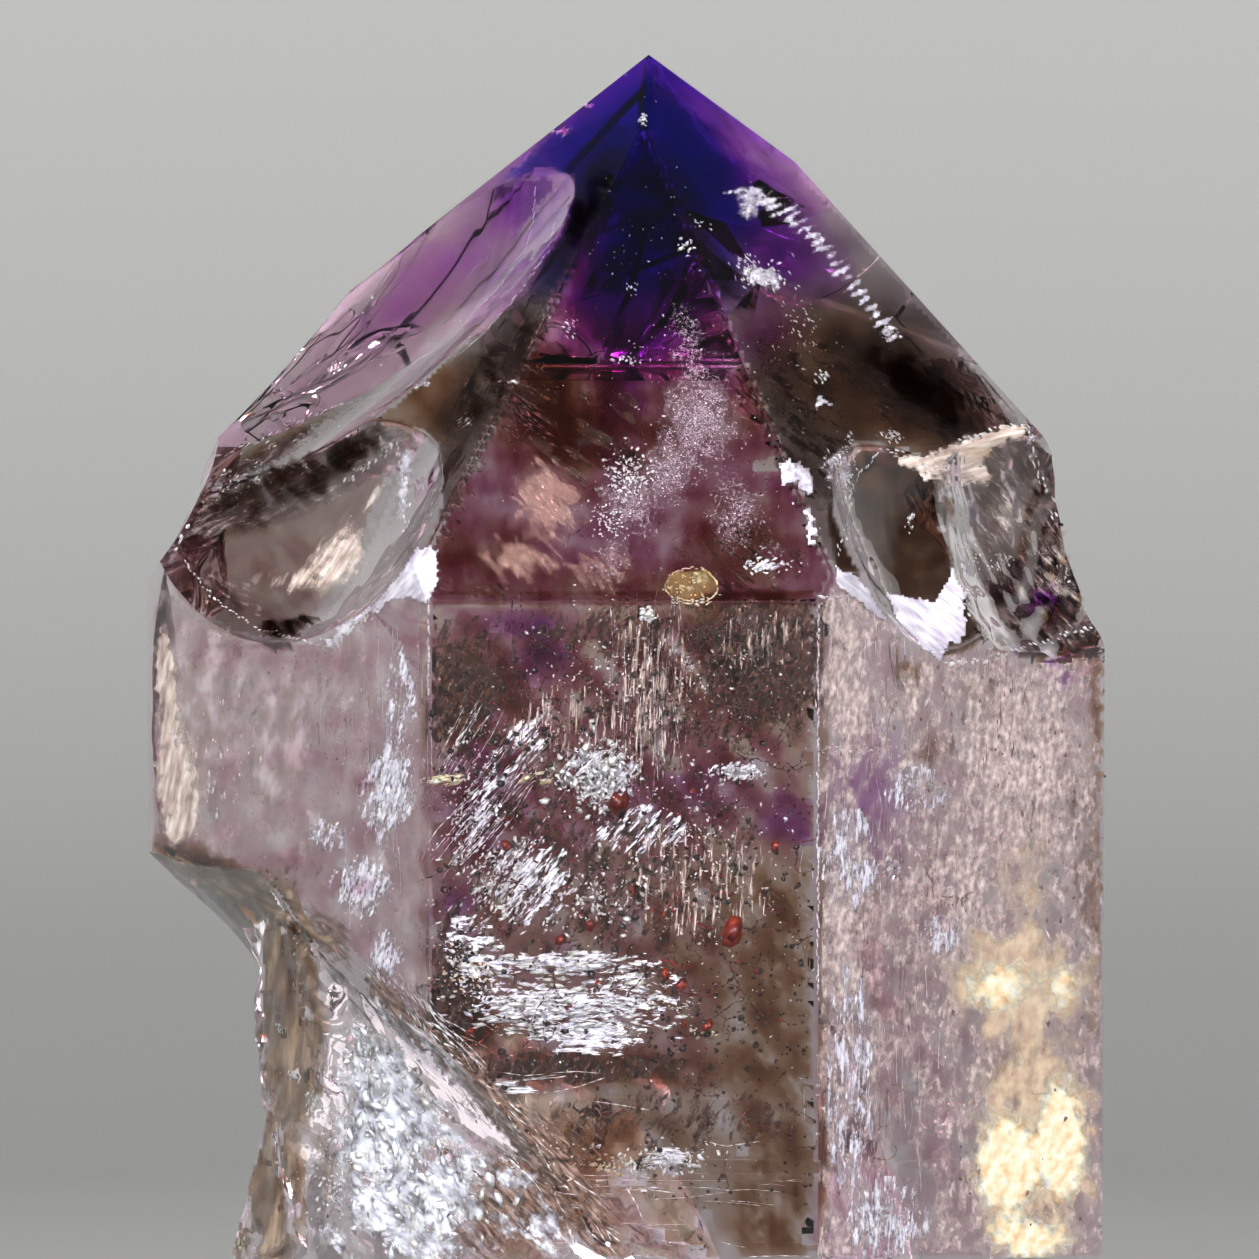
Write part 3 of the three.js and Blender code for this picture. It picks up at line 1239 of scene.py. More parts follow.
@dataclass(frozen=True)
class Layer:
    """A sheet that lies under the skin where the camera sees its shapes.

    cell, grain and stray are in pixels: the mesh's cells, the size of its unevenness and how far its
    edges wander. depth and thick are in mm, rough is the share of unevenness, and lie and stretch
    give the direction and length of its fibres. A body's thickness follows its strength, and a
    plain sheet keeps its thickness and carries its strength as an attribute. It stays within clip,
    the outline of one face, if that is given. It leaves out cells that run from one face to
    another: those stretched more than steep times.
    """

    name: str
    shapes: tuple[Dab | Area, ...]
    depth: float = 0.9
    thick: float = 0.5
    body: bool = True
    cell: float = 6.0
    rough: float = 0.25
    grain: float = 45.0
    stray: float = 5.0
    lie: float = 0.0
    stretch: float = 1.0
    relief: float = 0.0
    seed: int = 1
    clip: Outline = ()
    steep: float = 2.4

    def level(self, spots: np.ndarray) -> np.ndarray:
        """Return the layer's strength at rows of x, y."""
        flat = np.column_stack([spots, np.zeros(len(spots))])
        wander = np.column_stack([waves(flat, self.grain, self.seed + i) for i in range(2)])
        moved = spots + wander * self.stray
        total = sum(shape.level(moved) for shape in self.shapes)
        uneven = waves(flat, self.grain, self.seed + 2) + 0.6 * waves(flat, self.grain / 3, self.seed + 3)
        return np.clip(total * (1 + self.rough * uneven), 0, MOST)

    def build(self, sight: Sight) -> Object:
        """Build the closed sheet, with its strength and fibre places as attributes."""
        boxes = []
        for shape in self.shapes:
            if isinstance(shape, Area):
                boxes += list(shape.corners)
            else:
                reach = max(shape.wide, shape.tall)
                boxes += [(shape.x - reach, shape.y - reach), (shape.x + reach, shape.y + reach)]
        low = np.min(boxes, axis=0) - self.stray * 1.5 - self.cell
        high = np.max(boxes, axis=0) + self.stray * 1.5 + self.cell
        columns, rows = (int(n) + 1 for n in (high - low) / self.cell)
        bpy.ops.object.select_all(action="DESELECT")
        bpy.ops.mesh.primitive_grid_add(x_subdivisions=columns, y_subdivisions=rows, size=2)
        layer = bpy.context.object
        layer.name = self.name
        spots = low + (get_points(layer)[:, :2] * 0.5 + 0.5) * (high - low)
        keep = self.level(spots) > FAINT
        if self.clip:
            keep &= within(spots, np.array(self.clip, dtype=float))
        found = {}
        for i, (px, py) in enumerate(spots):
            hit = sight.inside(px, py, self.depth) if keep[i] else None
            keep[i] = hit is not None
            if hit is not None:
                found[(round(px, 1), round(py, 1))] = (hit[0], hit[1])
        step = (high - low) / (columns, rows)
        limit = self.steep * self.cell * sight.pixel + CELL_SLACK
        for i, (px, py) in enumerate(spots):
            here = found.get((round(px, 1), round(py, 1)))
            for x, y in ((px + step[0], py), (px, py + step[1])):
                near = found.get((round(x, 1), round(y, 1)))
                if here and near and (here[0] - near[0]).length > limit:
                    keep[i] = False
        with editing():
            bpy.ops.mesh.select_mode(type="VERT")
            bpy.ops.mesh.select_all(action="DESELECT")
        layer.data.vertices.foreach_set("select", ~keep)
        bpy.ops.object.mode_set(mode="EDIT")
        bpy.ops.mesh.delete(type="VERT")
        bpy.ops.object.mode_set(mode="OBJECT")
        with editing():
            bpy.ops.mesh.delete_loose(use_verts=True, use_edges=True, use_faces=False)
            bpy.ops.mesh.select_all(action="SELECT")
            bpy.ops.mesh.extrude_region_move(TRANSFORM_OT_translate=UP_ONE)
        points = get_points(layer)
        spots = low + (points[:, :2] * 0.5 + 0.5) * (high - low)
        level = self.level(spots)
        hits = [found[(round(px, 1), round(py, 1))] for px, py in spots]
        middle = np.array([hit[0] for hit in hits])
        normal = np.array([hit[1] for hit in hits])
        half = np.full(len(spots), self.thick / 2)
        if self.body:
            half = half * level + LEAST_HALF
        turn = math.radians(self.lie)
        along = (spots[:, 0] * math.cos(turn) - spots[:, 1] * math.sin(turn)) * sight.pixel / MM
        across = (spots[:, 0] * math.sin(turn) + spots[:, 1] * math.cos(turn)) * sight.pixel / MM
        place = np.column_stack([along / self.stretch, across, np.zeros(len(spots))])
        half = half * np.where(points[:, 2] > 0.5, 1, -1)
        if self.relief:
            half = half + self.relief * np.clip(waves(place, 1.4, self.seed + 5), -1, 1)
        set_points(layer, middle + normal * (half * MM)[:, None])
        turn_outward(layer)
        layer.data.attributes.new("level", "FLOAT", "POINT").data.foreach_set(
            "value", level.astype(np.float32)
        )
        layer.data.attributes.new("fibre", "FLOAT_VECTOR", "POINT").data.foreach_set(
            "vector", place.astype(np.float32).reshape(-1)
        )
        if not self.body:
            select_only(layer)
            bpy.ops.object.shade_smooth()
        return layer


WINDOW = (
    (427, 598), (823, 598), (823, 1259), (607, 1259), (600, 1206), (560, 1166), (500, 1110), (427, 1034),
)
TRIANGLE = ((643, 125), (832, 570), (822, 605), (427, 605), (416, 574))
LEFT_SIDE = (
    (150, 604), (163, 578), (190, 609), (228, 635), (270, 644), (310, 641), (350, 623), (388, 592),
    (412, 575), (433, 600), (433, 1032), (302, 908), (262, 877), (153, 850),
)
RIGHT_SIDE = (
    (816, 603), (832, 575), (862, 575), (880, 605), (905, 636), (937, 653), (985, 643), (1030, 656),
    (1060, 661), (1108, 647), (1108, 1259), (816, 1259),
)
LEFT_STRIP = (
    (647, 44), (641, 132), (418, 571), (438, 522), (442, 480), (428, 442), (400, 424), (376, 421),
    (430, 375), (506, 305), (560, 235), (574, 195), (570, 178), (545, 171), (476, 196), (528, 151),
    (590, 98),
)
RIGHT_ROOF = (
    (651, 46), (645, 132), (830, 571), (860, 573), (838, 520), (835, 472), (860, 447), (898, 449),
    (935, 467), (960, 441), (1038, 436), (965, 352), (795, 162),
)
LEFT_CHIP = (
    (205, 494), (220, 440), (258, 402), (350, 295), (470, 190), (545, 173), (570, 180), (572, 198),
    (556, 238), (504, 302), (430, 370), (372, 419),
)
LOW_CHIP = (
    (165, 566), (205, 499), (372, 424), (400, 426), (426, 442), (440, 480), (436, 522), (410, 560),
    (350, 618), (310, 639), (270, 641), (228, 632), (190, 604),
)
BOWL = (
    (824, 520), (832, 474), (860, 447), (900, 448), (944, 470), (952, 550), (972, 600), (985, 642),
    (937, 651), (904, 634), (878, 604), (860, 574), (834, 574),
)
RIGHT_CHIP = (
    (934, 470), (960, 441), (1038, 437), (1052, 470), (1068, 550), (1092, 620), (1103, 646), (1058, 658),
    (1030, 654), (984, 642), (962, 600), (944, 548),
)


@dataclass(frozen=True)
class Film(Layer):
    """A thin sheet, such as a fracture or a healed crack, that covers where it is strong."""

    depth: float = 0.14
    thick: float = 0.02
    body: bool = False
    cell: float = 3.0
    rough: float = 0.2
    grain: float = 16.0
    stray: float = 3.0


@dataclass(frozen=True)
class VeilFinish:
    """A fibrous, partly see-through film: colours, how much it covers and the size of its grain."""

    name: str
    colours: Colours
    cover: float = 1.0
    contrast: float = 1.0
    grain: float = 0.5
    gloss: float = 0.45
    shine: float = 0.5
    bumpy: bool = False
    fade: Pair = (0.15, 0.85)
    height: float = 0.00012

    def make(self) -> Material:
        """Build the material and return it."""
        sheet = NodeSheet(self.name)
        place = sheet.add("ShaderNodeAttribute", attribute_name="fibre").outputs["Vector"]
        level = sheet.add("ShaderNodeAttribute", attribute_name="level").outputs["Fac"]
        coarse = sheet.noise(place, 1 / self.grain, 4, Roughness=0.68).outputs["Fac"]
        parts = {0: coarse, 1: self.contrast * 3, 2: -self.contrast * 1.5}
        patchy = sheet.add("ShaderNodeMath", parts, operation="MULTIPLY_ADD")
        total = sheet.add("ShaderNodeMath", {0: patchy.outputs[0], 1: level}, operation="ADD")
        low, high = self.fade
        reach = {"Value": total.outputs[0], "From Min": low, "From Max": high, "To Max": self.cover}
        alpha = sheet.add("ShaderNodeMapRange", reach, interpolation_type="SMOOTHSTEP")
        fine = sheet.noise(place, 2.6 / self.grain, 2).outputs["Fac"]
        step = 0.36 / (len(self.colours) - 1)
        stops = [(0.32 + step * i, colour) for i, colour in enumerate(self.colours)]
        look = {
            "Base Color": sheet.ramp(stops, fine),
            "Alpha": alpha.outputs["Result"],
            "Specular IOR Level": self.shine,
            "Roughness": sheet.spread(fine, self.gloss * 0.6, self.gloss * 1.4),
        }
        if self.bumpy:
            look["Normal"] = sheet.bump(coarse, 0.8, self.height)
        sheet.material.use_transparent_shadow = False
        return sheet.close(Surface=sheet.add("ShaderNodeBsdfPrincipled", look))


# partly milky fracture, partly painted highlights where fractures catch the light
MILKY_AND_HIGHLIGHT = VeilFinish(
    "milky fracture and painted highlight", ((0.4, 0.35, 0.45), (0.64, 0.6, 0.7), (0.92, 0.9, 0.97)), contrast=0.6, bumpy=True,
)
# partly cream fracture, partly painted highlights on lit fracture fans
CREAM = VeilFinish(
    "cream fracture and painted highlight", ((0.34, 0.24, 0.21), (0.62, 0.5, 0.44), (0.95, 0.88, 0.82)), 0.95, 0.8, bumpy=True,
)
# partly smoky fracture, partly painted shadow in the band between the left chips
SMOKY_AND_SHADOW = VeilFinish(
    "smoky fracture and painted shadow", ((0.05, 0.026, 0.026), (0.15, 0.1, 0.1), (0.4, 0.33, 0.33)), 0.55, 1.3, 0.3,
    shine=0.1,
)
# painted glints: blue-white sheets standing in for sky reflected on the stem's lumps
PAINTED_STEM_GLINTS = VeilFinish(
    "painted blue-white glints", ((0.14, 0.12, 0.14), (0.64, 0.66, 0.76), (1.0, 1.0, 1.0)), 1.0, 1.5, 1.1,
    bumpy=True,
)
RUSTY = VeilFinish(
    "brown fibres", ((0.05, 0.022, 0.016), (0.18, 0.1, 0.075), (0.44, 0.32, 0.29)), 0.8, 0.9, 0.35,
    shine=0.1,
)
TAWNY = VeilFinish(
    "tawny haze", ((0.1, 0.055, 0.032), (0.19, 0.12, 0.075), (0.4, 0.29, 0.21)), 0.92, 0.45, 0.9, shine=0.1,
)
FIBROUS = VeilFinish(
    "brown-white fibres", ((0.1, 0.055, 0.045), (0.34, 0.24, 0.21), (0.8, 0.7, 0.66)), 0.8, 1.8, 0.16,
)
# painted glow: pale gold sheets that stand in for light shining through low on the right side
PAINTED_GOLDEN_GLOW = VeilFinish("painted golden glow", ((0.92, 0.62, 0.34), (1.0, 0.9, 0.66), (1.0, 1.0, 0.95)), 1.0, 0.4, 0.8)
GRAINY = VeilFinish(
    "grainy lilac film", ((0.08, 0.045, 0.06), (0.21, 0.14, 0.18), (0.55, 0.46, 0.56)), 0.6, 1.3, 0.13,
)
ROSE = VeilFinish("rosy film", ((0.24, 0.11, 0.09), (0.38, 0.2, 0.16), (0.68, 0.42, 0.32)), 0.44, 0.6, 0.3)
# painted glow: a warm pale sheet that stands in for light shining through
PAINTED_WARM_GLOW = VeilFinish("painted warm glow", ((0.6, 0.42, 0.32), (0.84, 0.64, 0.46), (1.0, 0.86, 0.66)), 0.75, 0.45, 0.9)
# painted light: a creamy sheet that brightens the right side face as side and back light would
PAINTED_CREAMY_LIGHT = VeilFinish(
    "painted creamy light", ((0.33, 0.23, 0.24), (0.63, 0.49, 0.48), (0.98, 0.86, 0.81)), 0.88, 0.6, 0.45,
)
# painted light: a pale sheet that brightens a side face as light from the side and back would
PAINTED_PALE_LIGHT = VeilFinish("painted pale light", ((0.3, 0.22, 0.22), (0.46, 0.37, 0.37), (0.8, 0.71, 0.74)), 0.56, 0.5, 1.4)
# partly white veils, partly painted sheen: flat white sheets for fluid films that glint
SHEEN = VeilFinish("white veil with painted sheen", ((0.12, 0.09, 0.14), (0.72, 0.7, 0.82), (1.0, 1.0, 1.0)), 1.0, 2.6, 0.26)
# painted shade: dark sheets laid where the crystal looks dark
DUSKY = VeilFinish(
    "painted shade", ((0.012, 0.005, 0.005), (0.045, 0.02, 0.016), (0.13, 0.07, 0.055)), 0.85, 1.5, 0.4,
    shine=0.02,
)


def lay(sight: Sight, finish: VeilFinish, layers: Layers) -> None:
    """Build films and give them one finish.

    Args:
        sight: the camera's sight.
        finish: their finish.
        layers: the films.
    """
    material = finish.make()
    for layer in layers:
        dress(layer.build(sight), material)


@dataclass(frozen=True)
class Glaze:
    """One colour under the faces: what it takes from red, green and blue where it is strong."""

    name: str
    takes: Triple
    layers: Layers


@dataclass
class Glazes:
    """The crystal's uneven colours, in layers of some thickness, in mm, close under its faces."""

    thick: float = 0.5
    glazes: tuple[Glaze, ...] = (
        Glaze("blue", (3.4, 3.2, 0.55), (
            Layer("blue_core", (
                Dab(645, 205, 64, 120, 1.2, 0, 0.9), Dab(610, 290, 40, 60, 0.3),
            ), depth=0.5, seed=701, clip=TRIANGLE),
            Layer("blue_left", (
                Dab(606, 160, 60, 110, 0.8, -35, 0.9), Dab(560, 260, 30, 60, 0.5, -35),
                Dab(540, 160, 70, 30, 0.5, 40),
            ), depth=0.5, seed=702, clip=LEFT_STRIP),
            Layer("blue_right", (
                Dab(690, 170, 50, 120, 0.9, 30, 0.9), Dab(720, 270, 30, 60, 0.3, 20),
            ), depth=0.5, seed=703, clip=RIGHT_ROOF),
        )),
        Glaze("violet", (1.1, 3.0, 0.55), (
            Layer("violet_roof", (
                Dab(645, 255, 95, 150, 1.5, 0, 0.6), Dab(600, 335, 70, 60, 0.45),
                Dab(620, 400, 34, 110, 0.55, -8), Dab(700, 330, 40, 90, 0.4, 25),
            ), seed=711, clip=TRIANGLE),
            Layer("violet_right_roof", (
                Dab(735, 200, 46, 120, 0.9, 38, 0.9), Dab(800, 250, 50, 90, 0.4, 42),
                Dab(760, 330, 60, 60, 0.4),
            ), seed=712, clip=RIGHT_ROOF),
            Layer("violet_left_chip", (
                Dab(545, 205, 70, 60, 0.75, 35), Dab(420, 290, 120, 40, 0.34, 42),
            ), depth=0.5, seed=713, clip=LEFT_CHIP),
            Layer("violet_stains", (
                Dab(540, 650, 50, 48, 0.9), Dab(510, 620, 90, 30, 0.3), Dab(792, 818, 50, 36, 0.9),
                Dab(700, 790, 110, 50, 0.3), Dab(480, 800, 60, 90, 0.5), Dab(455, 910, 30, 60, 0.4),
            ), depth=1.3, seed=721, clip=WINDOW, rough=0.5),
            Layer("violet_corner", (
                Dab(1058, 668, 24, 30, 1.1, 40), Dab(870, 800, 60, 110, 0.22),
            ), depth=0.5, seed=731, clip=RIGHT_SIDE, rough=0.5, grain=20),
            Layer("violet_right_chip", (
                Dab(1035, 600, 70, 70, 1.6), Dab(990, 540, 40, 60, 0.7),
            ), depth=0.5, seed=732, clip=RIGHT_CHIP),
        )),
        Glaze("smoke", (1.2, 1.4, 1.5), (
            Layer("smoky_left_strip", (
                Dab(510, 360, 60, 120, 1.3, -35, 0.8), Dab(450, 470, 60, 130, 0.9, -20),
                Dab(590, 215, 50, 120, 1.9, -35),
            ), depth=0.4, cell=4, seed=741, stray=0, clip=LEFT_STRIP),
            Layer("smoky_left_chip", (
                # painted shadow: Dab(300, 450) and Dab(500, 290) darken the band along the upper left
                # chip's lower edge
                Area(LEFT_CHIP, 0.1, 2), Dab(300, 450, 120, 22, 1.1, 26, 0.8),
                Dab(500, 290, 90, 16, 0.5, 48),
            ), depth=0.4, cell=4, seed=742, stray=0, clip=LEFT_CHIP),
            Layer("smoky_low_chip", (
                # painted shadow: Dab(300, 474) darkens the band between the two left chips
                Area(LOW_CHIP, 0.16, 2), Dab(300, 474, 160, 44, 1.9, 24, 0.7),
                Area((
                    (257, 626), (275, 619), (303, 615), (330, 619), (344, 624), (330, 636), (303, 641),
                    (275, 641),
                ), 1.8, 4),
                Dab(220, 595, 50, 14, 0.6, -35), Dab(420, 500, 24, 60, 0.5, -10),
            ), depth=0.4, cell=4, seed=751, stray=2, grain=22, clip=LOW_CHIP, rough=0.4),
            Layer("smoky_right_roof", (
                Area(RIGHT_ROOF, 0.2, 2), Dab(800, 430, 110, 160, 1.1, 25, 0.8),
                Dab(900, 360, 150, 70, 0.6, -40), Dab(925, 400, 140, 50, 1.6, -38, 0.8),
                Dab(690, 230, 36, 130, 1.0, 24, 0.9),
            ), depth=0.5, seed=761, stray=0, clip=RIGHT_ROOF),
            Layer(
                "smoky_bowl", (Area(BOWL, 0.9, 6),), depth=0.5, cell=4, seed=771, stray=0, grain=30,
                clip=BOWL,
            ),
            Layer("smoky_right_chip", (
                Area(RIGHT_CHIP, 0.75, 4), Dab(1000, 590, 50, 60, 0.4),
            ), depth=0.5, cell=4, seed=772, stray=0, rough=0.5, grain=26, clip=RIGHT_CHIP),
        )),
        Glaze("brown", (0.75, 1.25, 1.8), (
            Layer("brown_roof", (
                Dab(540, 400, 110, 70, 1.9, -35, 0.9), Dab(600, 430, 150, 90, 0.9),
                Dab(760, 420, 70, 60, 0.6), Dab(740, 540, 90, 70), Dab(480, 560, 90, 60, 0.8),
                Dab(640, 585, 200, 30, 0.6),
            ), seed=781, clip=TRIANGLE, rough=0.5),
            Layer(
                "brown_right_roof", (Dab(870, 390, 180, 90, 1.1, -30, 0.9),), depth=1.1, seed=782,
                clip=RIGHT_ROOF,
            ),
            Layer("brown_window", (
                Area(WINDOW, 0.4, 2), Dab(760, 650, 110, 110, 1.6, 0, 0.9),
                Dab(465, 690, 80, 70, 1.7, 0, 0.9), Dab(620, 1068, 210, 26, 1.5, 0, 0.9),
                Dab(455, 1005, 50, 90, 1.6, 20, 0.9), Dab(650, 650, 70, 70, 0.7),
                Dab(700, 940, 100, 140, 0.6),
                Area(((742, 868), (819, 862), (819, 1259), (730, 1259), (735, 1010)), 0.75, 22),
                Dab(620, 1130, 110, 30, 0.7),
            ), depth=1.6, seed=791, clip=WINDOW, rough=0.6, stray=2),
            Layer("brown_neck", (
                Dab(280, 1000, 50, 150, 2.2, 4, 0.8), Dab(262, 1195, 50, 90, 2.2, 0, 0.8),
                Dab(212, 880, 80, 34, 2.4, -35, 0.8), Dab(560, 1190, 50, 120, 1.6, -40, 0.9),
            ), seed=801, steep=6),
            Layer("brown_chips", (
                # painted shadow: Dab(290, 462) darkens the band between the two left chips
                Area(BOWL, 0.7, 4), Area(RIGHT_CHIP, 1.8, 4), Dab(290, 462, 140, 38, 1.3, 24, 0.8),
                Area(LOW_CHIP, 0.2, 4), Dab(436, 400, 60, 70, 1.1, -40, 0.9),
            ), depth=0.7, cell=5, seed=805, stray=2),
            Layer("brown_edge", (
                Area(((1086, 650), (1104, 648), (1104, 1040), (1084, 1040)), 0.8, 9),
                Dab(912, 676, 24, 20, 0.7, 0, 0.6), Dab(930, 748, 22, 24, 0.45, 0, 0.8),
                Dab(982, 690, 30, 36, 0.35), Dab(1020, 1060, 50, 30, 0.4),
            ), depth=0.4, cell=4, seed=811, clip=RIGHT_SIDE, rough=0.5, grain=20),
        )),
        Glaze("magenta", (1.0, 2.4, 1.75), (
            Layer("magenta_window", (
                Area(((431, 603), (819, 603), (819, 870), (431, 870)), 0.28, 40),
                Area(((431, 603), (790, 603), (740, 880), (720, 1100), (431, 1100)), 0.22, 40),
                Dab(500, 830, 90, 90, 0.3),
            ), seed=821, stray=0, cell=5, clip=WINDOW, rough=0.8, grain=50),
            Layer(
                "magenta_roof", (Area(TRIANGLE, 0.55, 2),), depth=0.6, seed=831, stray=0, cell=5,
                clip=TRIANGLE, rough=0.5,
            ),
        )),
        Glaze("pink", (0.22, 0.52, 0.42), (
            Layer(
                "pink_left", (Area(LEFT_SIDE, 0.9, 2),), depth=0.5, seed=851, stray=0, cell=5, rough=0.6,
                clip=LEFT_SIDE,
            ),
            Layer("pink_right", (
                Area(RIGHT_SIDE, 0.55, 2), Dab(900, 1000, 110, 280, 0.4),
            ), depth=0.5, seed=861, stray=0, cell=5, rough=0.6, clip=RIGHT_SIDE),
            Layer(
                "pink_low_chip", (Area(LOW_CHIP, 0.5, 2),), depth=1.1, seed=871, stray=0, cell=5, rough=0.6,
                clip=LOW_CHIP,
            ),
        )),
    )

    def build(self, sight: Sight) -> None:
        """Build and dress every layer."""
        for glaze in self.glazes:
            per_mm = tuple(value / self.thick for value in glaze.takes)
            finish = ZoneFinish(f"{glaze.name} quartz", per_mm).make()
            for layer in glaze.layers:
                dress(layer.build(sight), finish)


@dataclass
class ColourZones:
    """The violet bands of the tip and the ground base, as bodies a hair inside the skin.

    violet: each band's lowest height and what it takes from light in a mm. dish: how fast a band's
    lower side rises outwards. ground: the height of the cut base's pale layer.
    """

    inset: float = 0.35
    violet: tuple[tuple[float, Triple], ...] = (
        (46.6, (0.03, 0.06, 0.005)), (48.8, (0.06, 0.13, 0.01)), (51.0, (0.12, 0.26, 0.022)),
        (53.6, (0.28, 0.5, 0.05)),
    )
    dish: float = 0.06
    deepest: float = 7
    top: float = 62
    wave: float = 0.8
    wave_size: float = 9
    ground: float = 0.55

    def core(self) -> Object:
        """Cut a plainer copy of the crystal that lies a little inside its skin, in mm."""
        stem = Stem(around=90, rings=36)
        return Shell(stem=stem, steps=(), cell=0.7, inset=self.inset).cut("core")

    def blob(self, low: tuple, high: tuple, wave: float, size: float, seed: int) -> Object:
        """Make a wavy-sided block.

        Args:
            low: its lowest corner, in mm.
            high: its highest corner, in mm.
            wave: how far its sides stray, in mm.
            size: the waves' size, in mm.
            seed: chooses the waves.

        Returns:
            The closed block, in mm.
        """
        bpy.ops.object.select_all(action="DESELECT")
        middle = [(a + b) / 2 for a, b in zip(low, high)]
        bpy.ops.mesh.primitive_cube_add(size=1, location=middle)
        blob = bpy.context.object
        blob.scale = [b - a for a, b in zip(low, high)]
        bpy.ops.object.transform_apply(location=True, rotation=True, scale=True)
        with editing():
            bpy.ops.mesh.subdivide(number_cuts=40)
        points = get_points(blob)
        moved = points + wave * np.column_stack([waves(points, size, seed + i) for i in range(3)])
        set_points(blob, moved)
        return blob

    def zone(self, name: str, core: Object, blob: Object) -> Object:
        """Keep what the core and a block share.

        Args:
            name: the zone's name.
            core: the crystal's plainer inner copy, which is kept.
            blob: the block, which is used up.

        Returns:
            The zone, in metres.
        """
        zone = core.copy()
        zone.data = core.data.copy()
        zone.name = name
        bpy.context.scene.collection.objects.link(zone)
        boolean(zone, blob, "INTERSECT")
        zone.data.transform(Matrix.Scale(MM, 4))
        return zone

    def build(self) -> None:
        """Build and dress every zone."""
        core = self.core()
        for i, (height, per_mm) in enumerate(self.violet):
            high = (25, 25, self.top)
            blob = self.blob((-25, -25, height), high, self.wave, self.wave_size, 40 + 3 * i)
            points = get_points(blob)
            low = points[:, 2] < height + 2
            sunk = self.dish * np.hypot(points[low, 0], points[low, 1]) ** 2
            points[low, 2] += np.minimum(sunk, self.deepest)
            set_points(blob, points)
            finish = ZoneFinish(f"violet band {i + 1}", per_mm)
            dress(self.zone(f"violet_zone_{i + 1}", core, blob), finish.make())
        ground = self.blob((-25, -25, -1), (25, 25, self.ground), 0.0, 8, 80)
        dress(self.zone("ground_base", core, ground), GROUND.make())
        bpy.data.objects.remove(core)


